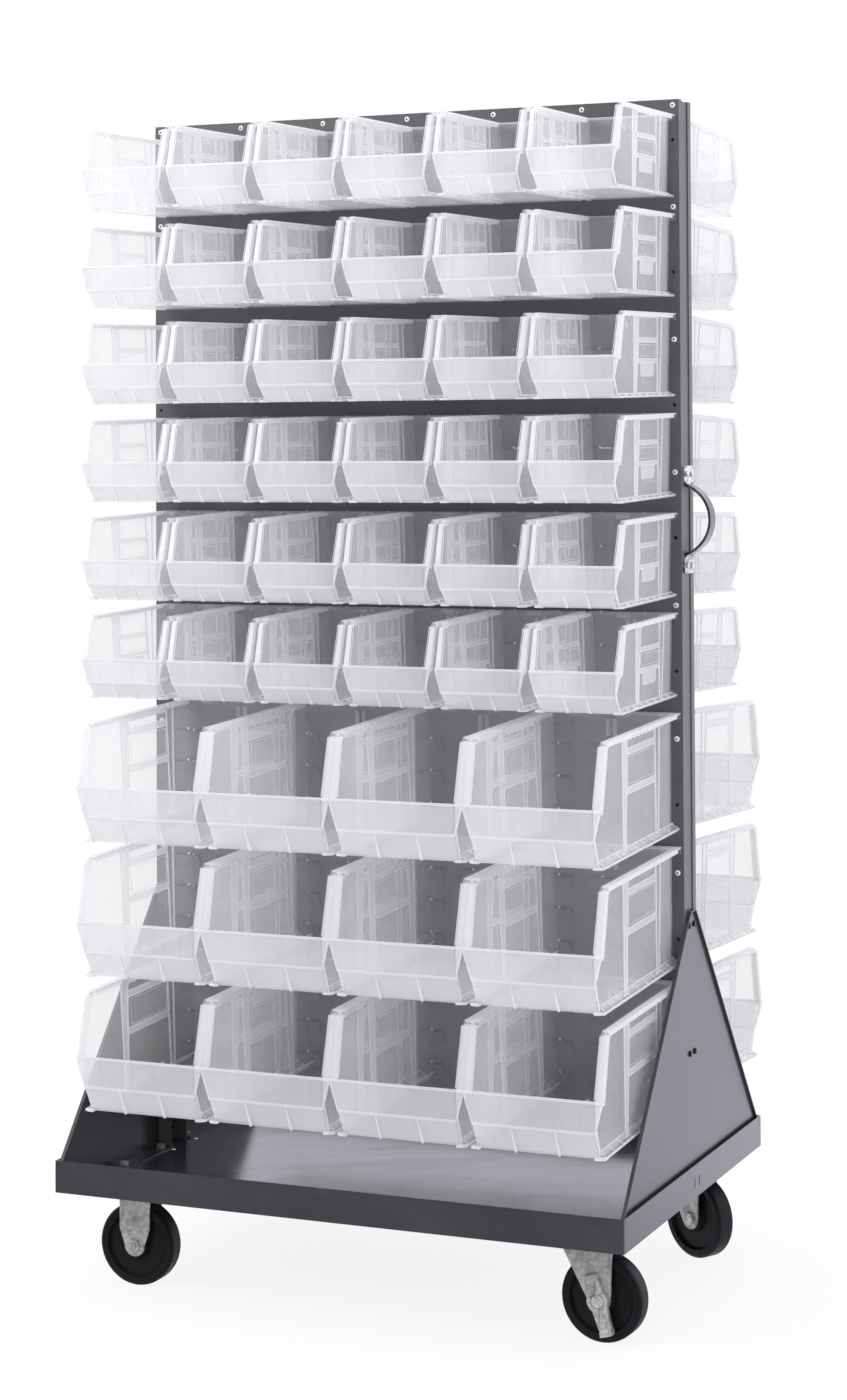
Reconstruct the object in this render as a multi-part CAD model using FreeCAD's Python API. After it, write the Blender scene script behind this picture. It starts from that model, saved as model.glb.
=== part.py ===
import FreeCAD, Part
import math
import os

Vector = FreeCAD.Vector

# Louvered bin rack on casters, in millimetres, +Z up, front towards -Y, handle end towards +X.
# The rack is built about its own middle, standing on Z = 0, and moved on saving so that the
# origin lies under the middle of the whole object.

# Base tray, as long as the end plates between its end rims need
tray_depth = 690.0
tray_sheet = 1.9
rim_height = 49.0
corner_seam = 1.2
rim_slot_height = 15.0
rim_slot_width = 3.0
deck_slot_length = 12.0
deck_slot_width = 8.0
deck_slot_y = 39.5

# Louver panels, two back to back
panel_width = 905.8
panel_height = 1549.0
panel_lift = 124.1
panel_sheet = 1.5
rack_thickness = 59.2
return_depth = 15.0
return_seam = 1.0

# Louvers
column_pitch = 71.6
row_pitch = 50.8
first_slit_drop = 25.2
flap_base_width = 50.0
flap_top_width = 41.0
flap_length = 21.5
flap_angle = 24.0
louver_side_margin = 30.0
louver_bottom_margin = 20.0

# Posts and rails inside the panel pair
post_width = 23.0
post_sheet = 2.0
rail_height = 20.0
rail_gap = 0.5

# Rivets and plain holes along the panel edges
edge_row_inset = 9.9
rivet_radius = 2.4
rivet_head_radius = 4.2
rivet_head_height = 1.8
rivet_tail_radius = 3.3
rivet_tail_length = 2.5
rivet_end_drop = 9.0
rivet_first_drop = 165.3
rivet_pitch = 203.2
plain_hole_radius = 2.6
plain_hole_first_drop = 62.4
plain_hole_bottom_margin = 40.0
edge_rivets = 5
fastener_clearance = 0.1

# End plates
end_plate_height = 432.0
end_plate_shoulder = 38.0
end_plate_tip_width = 25.0
end_plate_flange = 5.8
end_plate_side_gap = 2.1
end_rim_gap = 0.4
foot_flange_width = 30.0
foot_flange_gap = 3.0
foot_flange_end = 6.0
plate_bolt_inner_y = 46.0
plate_bolt_outer_y = 168.0
screw_edge_gap = 0.4
screw_radius = 2.4
screw_head_radius = 4.6
screw_head_height = 2.6
screw_length = 9.0
screw_low_lift = 21.1
screw_middle_drop = 216.4
screw_high_drop = 22.4

# Handle on the +X end
handle_lift = 946.1
handle_height = 165.0
handle_foot_height = 25.0
handle_foot_width = 45.0
handle_foot_sheet = 3.0
handle_foot_corner = 6.0
handle_strap_width = 25.0
handle_strap_sheet = 4.0
handle_reach = 41.1
handle_bow_margin = 27.0

# Casters
caster_height = 156.0
caster_inset_x = 92.0
caster_inset_y = 105.0
caster_plate_x = 92.0
caster_plate_y = 60.0
caster_bolt_x = 73.0
caster_bolt_y = 45.0
caster_sheet = 3.0
wheel_radius = 63.5
wheel_width = 32.0
wheel_shoulder = 6.0
hub_width = 34.0
hub_radius = 20.0
wheel_web = 20.0
fork_gap = 37.0
axle_radius = 6.0
sleeve_radius = 9.0
running_clearance = 0.06
fork_tip_radius = 17.0
rigid_leg_width = 52.0
caster_trail = 27.0
swivel_leg_front = 20.0
front_heading = -3.7
back_heading = -29.0
kingpin_radius = 5.0
kingpin_head_radius = 9.0
kingpin_head_height = 3.0
ball_radius = 3.175
ball_groove_clearance = 0.2
ball_circle_radius = 24.0
ball_count = 16
race_inner_radius = 18.0
race_outer_radius = 30.0
race_gap = 1.6
crown_radius = 33.0
crown_drop = 19.0

# Side brake lever of the front swivel caster
lever_sheet = 3.0
lever_gap = 0.3
lever_ring_radius = 16.5
lever_ring_height = 9.0
lever_wing_rise = 39.0
lever_wing_lean = 14.0
lever_pedal_drop = 50.0
lever_pedal_lean = 16.0
lever_pedal_reach = 13.0
axle_head_radius = 9.5
axle_head_height = 5.0

# Bolts and nuts
bolt_radius = 4.0
hex_radius = 7.5
bolt_head_height = 5.0
nut_height = 6.5
bolt_end = 3.0

# Bins, hung on the louvers by a hook along their back
hook_clearance = 0.7
hook_back_gap = 1.0
bin_seat_gap = 0.7
lift_room = 25.0
bin_wall = 2.2
small_bin = {
    "length": 276.0,
    "width": 140.0,
    "height": 127.0,
    "floor_width": 120.0,
    "top_width": 128.0,
    "hook_depth": 13.0,
    "foot_setback": 3.0,
    "foot_width": 136.0,
    "lip_height": 63.0,
    "nose_height": 25.0,
    "nose_cut": 24.0,
    "cheek_lean": 18.0,
    "side_gap": 8.6,
    "end_margin": 6.4,
    "rib_near": 0.20,
    "rib_far": 0.62,
}
big_bin = {
    "length": 375.0,
    "width": 209.6,
    "height": 178.0,
    "floor_width": 184.0,
    "top_width": 190.0,
    "hook_depth": 16.5,
    "foot_setback": 6.6,
    "foot_width": 204.0,
    "lip_height": 87.0,
    "nose_height": 40.0,
    "nose_cut": 25.0,
    "cheek_lean": 25.0,
    "side_gap": 0.6,
    "end_margin": 3.8,
    "rib_near": 0.20,
    "rib_far": 0.62,
}
small_rows = 6
hook_lip = 10.0
brow_step = 6.0
brow_depth = 12.0
front_wall_lean = 2.0
lip_rim = 4.0
ledge_skirt = 7.0
cheek_flange_depth = 11.0
foot_sheet = 3.0
rib_depth = 2.0
rib_low_width = 14.0
rib_high_width = 26.0
gusset_sheet = 2.2
gusset_share = 0.22

# Heights and half sizes worked out from the driving sizes
deck_low = caster_height
deck_top = deck_low + tray_sheet
rim_top = deck_low + rim_height
panel_half = panel_width / 2
tray_half_x = panel_half + end_plate_flange + end_rim_gap + tray_sheet
tray_half_y = tray_depth / 2
panel_low = deck_top + panel_lift
panel_top = panel_low + panel_height
face_y = rack_thickness / 2
frame_y = face_y - panel_sheet
post_face = panel_half - panel_sheet
rail_half = post_face - post_width - rail_gap
screw_half_spacing = face_y - return_depth - screw_edge_gap - screw_radius
axle_z = wheel_radius
edge_row_x = panel_half - edge_row_inset
handle_tip = panel_half + handle_reach
origin_shift = -(handle_tip - tray_half_x) / 2

# Louver grid
flap_lean = flap_length * math.sin(math.radians(flap_angle))
flap_rise = flap_length * math.cos(math.radians(flap_angle))
half_columns = int((panel_half - louver_side_margin) / column_pitch + 0.5)
column_xs = []
for i in range(half_columns):
    column_xs.append((i + 0.5) * column_pitch)
    column_xs.append(-(i + 0.5) * column_pitch)
first_slit = panel_top - first_slit_drop
slit_travel = first_slit - flap_length - louver_bottom_margin - panel_low
slit_zs = [first_slit - j * row_pitch for j in range(int(slit_travel / row_pitch) + 1)]


def spaced_down(first, pitch, lowest):
    # Heights from the first one down, one pitch apart, that stay above the lowest
    count = int((first - lowest) / pitch) + 1
    return [first - i * pitch for i in range(count)]


rivet_zs = spaced_down(panel_top - rivet_first_drop, rivet_pitch,
                       panel_low + 2 * plain_hole_bottom_margin)
rivet_zs = [panel_top - rivet_end_drop] + rivet_zs + [panel_low + rivet_end_drop]
plain_hole_zs = spaced_down(panel_top - plain_hole_first_drop, rivet_pitch,
                            panel_low + plain_hole_bottom_margin)


# Shape helpers

def block(x, y, z):
    # A box from a low and a high value on each axis
    return Part.makeBox(x[1] - x[0], y[1] - y[0], z[1] - z[0], Vector(x[0], y[0], z[0]))


def flat_face(corners):
    return Part.Face(Part.makePolygon(corners + corners[:1]))


def slab_x(yz, x):
    # An outline in Y and Z made thick between two X values
    return flat_face([Vector(x[0], y, z) for y, z in yz]).extrude(Vector(x[1] - x[0], 0, 0))


def slab_y(xz, y):
    # An outline in X and Z made thick between two Y values
    return flat_face([Vector(x, y[0], z) for x, z in xz]).extrude(Vector(0, y[1] - y[0], 0))


def rod(start, end, radius):
    way = Vector(*end) - Vector(*start)
    return Part.makeCylinder(radius, way.Length, Vector(*start), way)


def tube(start, end, radius, bore):
    return rod(start, end, radius).cut(rod(start, end, bore))


def hexagon(start, end, radius):
    # A hexagonal prism, standing on its start point
    way = Vector(*end) - Vector(*start)
    corners = []
    for i in range(6):
        turn = math.radians(60 * i)
        corners.append(Vector(radius * math.cos(turn), radius * math.sin(turn), 0))
    shape = flat_face(corners).extrude(Vector(0, 0, way.Length))
    shape.Placement = FreeCAD.Placement(Vector(*start), FreeCAD.Rotation(Vector(0, 0, 1), way))
    return shape


def spun(profile, axis_point, axis):
    # A closed profile turned a full circle
    return Part.Face(profile).revolve(Vector(*axis_point), Vector(*axis), 360)


def joined(shapes):
    return shapes[0].multiFuse(shapes[1:]).removeSplitter()


def moved(shape, x=0.0, y=0.0, z=0.0):
    copy = shape.copy()
    copy.translate(Vector(x, y, z))
    return copy


def turned(shape, centre, axis, angle):
    copy = shape.copy()
    copy.rotate(Vector(*centre), Vector(*axis), angle)
    return copy


def half_turned(shape):
    # The same piece on the other side of the rack
    return turned(shape, (0, 0, 0), (0, 0, 1), 180)


def mirrored_x(shape):
    return shape.mirror(Vector(0, 0, 0), Vector(1, 0, 0))


def inset(outline, distance):
    # The same outline drawn in by a distance, for corners listed anticlockwise
    lines = []
    for (ax, ay), (bx, by) in zip(outline, outline[1:] + outline[:1]):
        length = math.hypot(bx - ax, by - ay)
        nx = -(by - ay) / length
        ny = (bx - ax) / length
        lines.append((ax + nx * distance, ay + ny * distance, bx - ax, by - ay))
    corners = []
    for (px, py, pdx, pdy), (qx, qy, qdx, qdy) in zip(lines[-1:] + lines[:-1], lines):
        share = ((qx - px) * qdy - (qy - py) * qdx) / (pdx * qdy - pdy * qdx)
        corners.append((px + share * pdx, py + share * pdy))
    return corners


def save(name, shapes):
    # Write one node, moved so that the origin lies under the middle of the object
    os.makedirs("parts", exist_ok=True)
    placed = [moved(shape, x=origin_shift) for shape in shapes]
    result = placed[0] if len(placed) == 1 else Part.makeCompound(placed)
    result.exportStep("parts/" + name + ".step")


# Base tray

def caster_centres():
    x = tray_half_x - caster_inset_x
    y = tray_half_y - caster_inset_y
    return {"rigid_front": (-x, -y), "rigid_back": (-x, y),
            "swivel_front": (x, -y), "swivel_back": (x, y)}


def caster_bolt_places():
    places = []
    for cx, cy in caster_centres().values():
        for sx in (-0.5, 0.5):
            for sy in (-0.5, 0.5):
                places.append((cx + sx * caster_bolt_x, cy + sy * caster_bolt_y))
    return places


def plate_bolt_places():
    x = panel_half - foot_flange_width / 2
    ys = (-plate_bolt_outer_y, -plate_bolt_inner_y, plate_bolt_inner_y, plate_bolt_outer_y)
    return [(sx * x, y) for sx in (-1, 1) for y in ys]


def base_tray():
    deck = block((-tray_half_x, tray_half_x), (-tray_half_y, tray_half_y), (deck_low, deck_top))
    walls = []
    for side in (-1, 1):
        ys = sorted((side * tray_half_y, side * (tray_half_y - tray_sheet)))
        walls.append(block((-tray_half_x, tray_half_x), ys, (deck_low, rim_top)))
        xs = sorted((side * tray_half_x, side * (tray_half_x - tray_sheet)))
        end_y = tray_half_y - tray_sheet - corner_seam
        walls.append(block(xs, (-end_y, end_y), (deck_low, rim_top)))
    cuts = []
    for x, y in caster_bolt_places() + plate_bolt_places():
        cuts.append(rod((x, y, deck_low - 1), (x, y, deck_top + 1), bolt_radius + fastener_clearance))
    slot_x = panel_half - foot_flange_width - deck_slot_width / 2 - 2
    half_length = deck_slot_length / 2 - deck_slot_width / 2
    for sx in (-1, 1):
        for sy in (-1, 1):
            x = sx * slot_x
            y = sy * deck_slot_y
            cuts.append(block((x - deck_slot_width / 2, x + deck_slot_width / 2),
                              (y - half_length, y + half_length), (deck_low - 1, deck_top + 1)))
            for end in (-half_length, half_length):
                cuts.append(rod((x, y + end, deck_low - 1), (x, y + end, deck_top + 1),
                                deck_slot_width / 2))
    slot_low = deck_top + screw_low_lift - rim_slot_height / 2
    slot_high = slot_low + rim_slot_height
    for sy in (-1, 1):
        y = sy * screw_half_spacing
        cuts.append(block((-tray_half_x - 1, tray_half_x + 1),
                          (y - rim_slot_width / 2, y + rim_slot_width / 2), (slot_low, slot_high)))
    return joined([deck] + walls).cut(Part.makeCompound(cuts))


# Louver panels, posts and rails

def louver_flap():
    # One flap of the front panel, hinged at its bottom edge on Z = 0 at X = 0
    half = math.radians(flap_angle / 2)
    root = panel_sheet * math.tan(half)
    top_back = flap_lean - panel_sheet / math.cos(2 * half)
    profile = [(0, 0), (-flap_lean, flap_rise), (-top_back, flap_rise),
               (panel_sheet, root), (panel_sheet, 0)]
    strip = slab_x(profile, (-flap_base_width, flap_base_width))
    taper = (flap_base_width - flap_top_width) / 2 / flap_length
    reach = 2 * flap_length
    low = flap_base_width / 2 + taper * reach
    high = flap_base_width / 2 - taper * reach
    blank = slab_y([(-low, -reach), (low, -reach), (high, reach), (-high, reach)], (-reach, reach))
    blank = turned(blank, (0, 0, 0), (1, 0, 0), flap_angle)
    return strip.common(blank)


def louver_opening():
    # The hole that a flap leaves in the sheet, from its hinge to the slit
    base = flap_base_width / 2
    top = flap_top_width / 2
    outline = [(-base, 0), (base, 0), (top, flap_length), (-top, flap_length)]
    return slab_y(outline, (-1, panel_sheet + 1))


def side_hole_places():
    rivets = [(sx * edge_row_x, z) for sx in (-1, 1) for z in rivet_zs]
    plain = [(sx * edge_row_x, z) for sx in (-1, 1) for z in plain_hole_zs]
    return rivets, plain


def rail_rivet_places():
    spacing = 2 * edge_row_x / (edge_rivets + 1)
    places = []
    for z in (panel_top - rivet_end_drop, panel_low + rivet_end_drop):
        for i in range(edge_rivets):
            places.append(((i - (edge_rivets - 1) / 2) * spacing, z))
    return places


def louver_strip(z_low, z_high):
    # One louver row of the front panel's sheet, with its hinges on Z = 0
    strip = block((-panel_half, panel_half), (-face_y, -frame_y), (z_low, z_high))
    flap = louver_flap()
    opening = louver_opening()
    flaps = [moved(flap, x, -face_y) for x in column_xs]
    cuts = [moved(opening, x, -face_y) for x in column_xs]
    return joined([strip.cut(Part.makeCompound(cuts))] + flaps)


def louver_panel():
    # The front panel: a folded pan with a grid of flaps cut and pushed outwards
    sheet_y = (-face_y, -frame_y)
    strip_low = (flap_length - row_pitch) / 2
    strip_high = strip_low + row_pitch
    strip = louver_strip(strip_low, strip_high)
    shapes = [moved(strip, z=slit - flap_length) for slit in slit_zs]
    rows_low = slit_zs[-1] - flap_length + strip_low
    rows_high = slit_zs[0] - flap_length + strip_high
    shapes.append(block((-panel_half, panel_half), sheet_y, (panel_low, rows_low)))
    shapes.append(block((-panel_half, panel_half), sheet_y, (rows_high, panel_top)))
    return_y = (-face_y, -face_y + return_depth)
    for side in (-1, 1):
        xs = sorted((side * panel_half, side * (panel_half - panel_sheet)))
        shapes.append(block(xs, return_y, (panel_low, panel_top)))
    half = panel_half - panel_sheet - return_seam
    shapes.append(block((-half, half), return_y, (panel_top - panel_sheet, panel_top)))
    # the bottom fold stops short of the posts, which run down past it to the deck
    shapes.append(block((-rail_half, rail_half), return_y, (panel_low, panel_low + panel_sheet)))
    pan = shapes[0].multiFuse(shapes[1:])
    cuts = []
    rivets, plain = side_hole_places()
    for x, z in rivets + rail_rivet_places():
        cuts.append(rod((x, -face_y - 1, z), (x, -frame_y + 1, z), rivet_radius + fastener_clearance))
    for x, z in plain:
        cuts.append(rod((x, -face_y - 1, z), (x, -frame_y + 1, z), plain_hole_radius))
    return pan.cut(Part.makeCompound(cuts))


def screw_zs():
    plate_top = deck_top + end_plate_height
    return [deck_top + screw_low_lift, plate_top - screw_middle_drop, plate_top - screw_high_drop]


def handle_screw_places():
    low = deck_top + handle_lift + handle_foot_height / 2
    high = deck_top + handle_lift + handle_height - handle_foot_height / 2
    return [(y, z) for z in (low, high) for y in (-screw_half_spacing, screw_half_spacing)]


def post(side):
    # A channel with its web outwards, from the deck to under the panels' top fold
    top = panel_top - panel_sheet
    xs = (post_face - post_width, post_face)
    outer = block(xs, (-frame_y, frame_y), (deck_top, top))
    inner_y = frame_y - post_sheet
    hollow = block((xs[0] - 1, post_face - post_sheet), (-inner_y, inner_y), (deck_top - 1, top + 1))
    channel = outer.cut(hollow)
    rivets, plain = side_hole_places()
    cuts = []
    for radius, places in ((rivet_radius + fastener_clearance, rivets), (plain_hole_radius, plain)):
        for x, z in places:
            if x > 0:
                cuts.append(rod((x, -frame_y - 1, z), (x, frame_y + 1, z), radius))
    ends = (post_face - post_sheet - 1, post_face + 1)
    for z in screw_zs():
        for y in (-screw_half_spacing, screw_half_spacing):
            cuts.append(rod((ends[0], y, z), (ends[1], y, z), screw_radius + fastener_clearance))
    if side > 0:
        for y, z in handle_screw_places():
            cuts.append(rod((ends[0], y, z), (ends[1], y, z), screw_radius + fastener_clearance))
    result = channel.cut(Part.makeCompound(cuts))
    return result if side > 0 else mirrored_x(result)


def rail(top):
    # A channel between the posts, web level with the panels' end folds
    web = (panel_top - panel_sheet - post_sheet, panel_top - panel_sheet)
    legs = (web[1] - rail_height, web[1])
    inner_y = frame_y - post_sheet
    outer = block((-rail_half, rail_half), (-frame_y, frame_y), legs)
    hollow = block((-rail_half - 1, rail_half + 1), (-inner_y, inner_y), (legs[0] - 1, web[0]))
    channel = outer.cut(hollow)
    if not top:
        middle = (panel_top + panel_low) / 2
        channel = turned(channel, (0, 0, middle), (0, 1, 0), 180)
    cuts = []
    for x, z in rail_rivet_places():
        cuts.append(rod((x, -frame_y - 1, z), (x, frame_y + 1, z), rivet_radius + fastener_clearance))
    return channel.cut(Part.makeCompound(cuts))


def rivet():
    # A domed rivet in the front face, its shank along Y, set at the sheet's outer face
    grip = panel_sheet + post_sheet
    points = [(0, -rivet_head_height), (rivet_head_radius, 0), (rivet_radius, 0), (rivet_radius, grip),
              (rivet_tail_radius, grip), (rivet_tail_radius, grip + rivet_tail_length),
              (0, grip + rivet_tail_length)]
    corner = [Vector(r, y, 0) for r, y in points]
    dome_middle = Vector(rivet_head_radius * 0.6, -rivet_head_height * 0.8, 0)
    edges = [Part.Arc(corner[0], dome_middle, corner[1]).toShape()]
    for a, b in zip(corner[1:], corner[2:] + corner[:1]):
        edges.append(Part.makeLine(a, b))
    return spun(Part.Wire(edges), (0, 0, 0), (0, 1, 0))


def panel_rivets():
    one = rivet()
    rivets, _ = side_hole_places()
    shapes = []
    for x, z in rivets + rail_rivet_places():
        front = moved(one, x, -face_y, z)
        shapes.append(front)
        shapes.append(half_turned(front))
    return shapes


# End plates

def end_plate():
    # The +X end plate: folded outwards round its edge, and inwards along its foot
    low = deck_top
    side = tray_half_y - tray_sheet - end_plate_side_gap
    tip = end_plate_tip_width / 2
    shoulder = low + end_plate_shoulder
    top = low + end_plate_height
    outline = [(-side, low), (side, low), (side, shoulder), (tip, top), (-tip, top), (-side, shoulder)]
    web_x = (panel_half, panel_half + tray_sheet)
    dish = slab_x(outline, (panel_half, panel_half + end_plate_flange))
    drawn_in = inset(outline, tray_sheet)
    drawn_in[0] = (drawn_in[0][0], low - 1)
    drawn_in[1] = (drawn_in[1][0], low - 1)
    hollow = slab_x(drawn_in, (web_x[1], panel_half + end_plate_flange + 1))
    shapes = [dish.cut(hollow)]
    for way in (-1, 1):
        ys = sorted((way * (frame_y + foot_flange_gap), way * (side - foot_flange_end)))
        shapes.append(block((panel_half - foot_flange_width, panel_half + tray_sheet), ys,
                            (low, low + tray_sheet)))
    plate = joined(shapes)
    cuts = []
    for x, y in plate_bolt_places():
        if x > 0:
            cuts.append(rod((x, y, low - 1), (x, y, low + tray_sheet + 1),
                            bolt_radius + fastener_clearance))
    for z in screw_zs():
        for y in (-screw_half_spacing, screw_half_spacing):
            cuts.append(rod((web_x[0] - 1, y, z), (web_x[1] + 1, y, z),
                            screw_radius + fastener_clearance))
    return plate.cut(Part.makeCompound(cuts))


def screw(seat_x, y, z):
    # A pan head screw driven towards -X, seated at a given X
    shank = rod((seat_x - screw_length, y, z), (seat_x, y, z), screw_radius)
    head = rod((seat_x, y, z), (seat_x + screw_head_height, y, z), screw_head_radius)
    rim = head.Edges[0] if head.Edges[0].CenterOfMass.x > seat_x + 1 else head.Edges[2]
    head = head.makeFillet(screw_head_height * 0.4, [rim])
    return joined([shank, head])


def end_plate_screws():
    shapes = []
    for z in screw_zs():
        for y in (-screw_half_spacing, screw_half_spacing):
            one = screw(panel_half + tray_sheet, y, z)
            shapes.append(one)
            shapes.append(mirrored_x(one))
    return shapes


def bolt_down(x, y, seat_z, grip):
    # A hex bolt whose head sits on a seat and whose shank passes down through the grip and a nut
    head = hexagon((x, y, seat_z), (x, y, seat_z + bolt_head_height), hex_radius)
    end = seat_z - grip - nut_height - bolt_end
    return joined([head, rod((x, y, end), (x, y, seat_z), bolt_radius)])


def nut_below(x, y, top_z):
    outer = hexagon((x, y, top_z - nut_height), (x, y, top_z), hex_radius)
    return outer.cut(rod((x, y, top_z - nut_height), (x, y, top_z), bolt_radius + fastener_clearance))


# Handle

def handle_bow(low, high):
    # The strap: a slice of a ring that leaves the post at two heights and reaches the tip between them
    half_chord = (high - low) / 2
    radius = (half_chord ** 2 + handle_reach ** 2) / (2 * handle_reach)
    centre_x = handle_tip - radius
    middle = (low + high) / 2
    half_strap = handle_strap_width / 2
    ring = tube((centre_x, -half_strap, middle), (centre_x, half_strap, middle), radius,
                radius - handle_strap_sheet)
    behind = block((centre_x - radius - 1, panel_half), (-handle_strap_width, handle_strap_width),
                   (middle - radius - 1, middle + radius + 1))
    return ring.cut(behind)


def handle():
    low = deck_top + handle_lift
    high = low + handle_height
    half_strap = handle_strap_width / 2
    bow_z = (low + handle_bow_margin, high - handle_bow_margin)
    seat = panel_half
    shapes = [handle_bow(bow_z[0], bow_z[1])]
    half_foot = handle_foot_width / 2
    for foot_z in ((low, low + handle_foot_height), (high - handle_foot_height, high)):
        foot = block((seat, seat + handle_foot_sheet), (-half_foot, half_foot), foot_z)
        corners = [e for e in foot.Edges if abs(e.tangentAt(e.FirstParameter).x) > 0.9]
        shapes.append(foot.makeFillet(handle_foot_corner, corners))
    for z in ((low + handle_foot_height - handle_foot_sheet, bow_z[0] + handle_strap_sheet),
              (bow_z[1] - handle_strap_sheet, high - handle_foot_height + handle_foot_sheet)):
        shapes.append(block((seat, seat + handle_foot_sheet), (-half_strap, half_strap), z))
    result = joined(shapes)
    cuts = []
    for y, z in handle_screw_places():
        cuts.append(rod((seat - 1, y, z), (seat + handle_foot_sheet + 1, y, z),
                        screw_radius + fastener_clearance))
    return result.cut(Part.makeCompound(cuts))


def handle_screws():
    return [screw(panel_half + handle_foot_sheet, y, z) for y, z in handle_screw_places()]


# Casters, each built with its wheel centre at X = 0, Y = 0 and its axle along Y

def wheel():
    half = wheel_width / 2
    half_hub = hub_width / 2
    half_web = wheel_web / 2
    bore = sleeve_radius + running_clearance
    rim_foot = wheel_radius - 2.2 * wheel_shoulder
    web_start = hub_radius + (half_hub - half_web) * 0.4
    web_end = rim_foot - (half - half_web) * 0.6
    side = [(bore, half_hub), (hub_radius, half_hub), (web_start, half_web), (web_end, half_web),
            (rim_foot, half), (wheel_radius - wheel_shoulder, half)]
    points = side + [(r, -y) for r, y in reversed(side)]
    corner = [Vector(r, y, 0) for r, y in points]
    bend = wheel_shoulder * (1 - math.sqrt(0.5))
    tread_high = Vector(wheel_radius, half - wheel_shoulder, 0)
    tread_low = Vector(wheel_radius, -half + wheel_shoulder, 0)
    high_middle = Vector(wheel_radius - bend, half - bend, 0)
    low_middle = Vector(wheel_radius - bend, -half + bend, 0)
    edges = [Part.makeLine(a, b) for a, b in zip(corner[:5], corner[1:6])]
    edges.append(Part.Arc(corner[5], high_middle, tread_high).toShape())
    edges.append(Part.makeLine(tread_high, tread_low))
    edges.append(Part.Arc(tread_low, low_middle, corner[6]).toShape())
    edges += [Part.makeLine(a, b) for a, b in zip(corner[6:], corner[7:] + corner[:1])]
    shape = spun(Part.Wire(edges), (0, 0, 0), (0, 1, 0))
    return moved(shape, z=axle_z)


def axle_sleeve():
    half = fork_gap / 2
    return tube((0, -half, axle_z), (0, half, axle_z), sleeve_radius, axle_radius + fastener_clearance)


def leg_pair(outline):
    # Two fork legs from one outline in X and Z, with the axle hole through both
    inner = fork_gap / 2
    outer = inner + caster_sheet
    shapes = []
    for y in ((-outer, -inner), (inner, outer)):
        leg = slab_y(outline, y)
        tip = rod((0, y[0], axle_z), (0, y[1], axle_z), fork_tip_radius)
        hole = rod((0, y[0] - 1, axle_z), (0, y[1] + 1, axle_z), axle_radius + fastener_clearance)
        shapes.append(leg.fuse(tip).cut(hole))
    return shapes


def tip_outline(left_top, right_top, top_z):
    # A leg that narrows from its top corners to the sides of its round tip
    left_slope = math.atan2(-fork_tip_radius - left_top, top_z - axle_z)
    right_slope = math.atan2(right_top - fork_tip_radius, top_z - axle_z)
    left = -fork_tip_radius * math.cos(left_slope)
    left_drop = -fork_tip_radius * math.sin(left_slope)
    right = fork_tip_radius * math.cos(right_slope)
    right_drop = -fork_tip_radius * math.sin(right_slope)
    return [(left, axle_z + left_drop), (right, axle_z + right_drop),
            (right_top, top_z), (left_top, top_z)]


def caster_plate_holes(cx, cy):
    cuts = []
    for sx in (-0.5, 0.5):
        for sy in (-0.5, 0.5):
            x = cx + sx * caster_bolt_x
            y = cy + sy * caster_bolt_y
            cuts.append(rod((x, y, deck_low - caster_sheet - 1), (x, y, deck_low + 1),
                            bolt_radius + fastener_clearance))
    return cuts


def caster_plate(cx, cy):
    half_x = caster_plate_x / 2
    half_y = caster_plate_y / 2
    plate = block((cx - half_x, cx + half_x), (cy - half_y, cy + half_y),
                  (deck_low - caster_sheet, deck_low))
    upright = [e for e in plate.Edges if abs(e.tangentAt(e.FirstParameter).z) > 0.9]
    return plate.makeFillet(2 * caster_sheet, upright)


def rigid_fork(cx, cy):
    top = deck_low - caster_sheet
    half = rigid_leg_width / 2
    knee = axle_z + fork_tip_radius
    outline = [(-fork_tip_radius, axle_z), (fork_tip_radius, axle_z), (half, knee + fork_tip_radius / 2),
               (half, top), (-half, top), (-half, knee + fork_tip_radius / 2)]
    legs = [moved(leg, cx, cy) for leg in leg_pair(outline)]
    fork = joined([caster_plate(cx, cy)] + legs)
    return fork.cut(Part.makeCompound(caster_plate_holes(cx, cy)))


race_high = deck_low - caster_sheet
crown_top = race_high - crown_drop + caster_sheet
crown_low = crown_top - caster_sheet
ball_z = (race_high + crown_top) / 2


def ball_groove():
    return Part.makeTorus(ball_circle_radius, ball_radius + ball_groove_clearance, Vector(0, 0, ball_z))


def race(z_low, z_high, bore):
    ring = tube((0, 0, z_low), (0, 0, z_high), race_outer_radius, race_inner_radius)
    return ring.cut(ball_groove())


def swivel_plate(cx, cy):
    # The fixed top plate with the upper ball race, in place over its kingpin
    ring = moved(race(ball_z + race_gap / 2, race_high, race_inner_radius), cx, cy)
    plate = joined([caster_plate(cx, cy), ring])
    pin_hole = Part.makeCone(kingpin_radius + fastener_clearance,
                             kingpin_radius + caster_sheet + fastener_clearance,
                             caster_sheet, Vector(cx, cy, race_high))
    return plate.cut(Part.makeCompound(caster_plate_holes(cx, cy) + [pin_hole]))


def kingpin():
    # A rivet with a flush cone in the top plate and a flat head under the fork's crown
    shank = rod((0, 0, crown_low - lever_gap - kingpin_head_height), (0, 0, race_high), kingpin_radius)
    head_z = crown_low - lever_gap
    head = rod((0, 0, head_z - kingpin_head_height), (0, 0, head_z), kingpin_head_radius)
    cone_height = caster_sheet - fastener_clearance
    cone = Part.makeCone(kingpin_radius, kingpin_radius + cone_height, cone_height,
                         Vector(0, 0, race_high))
    return joined([shank, head, cone])


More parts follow.
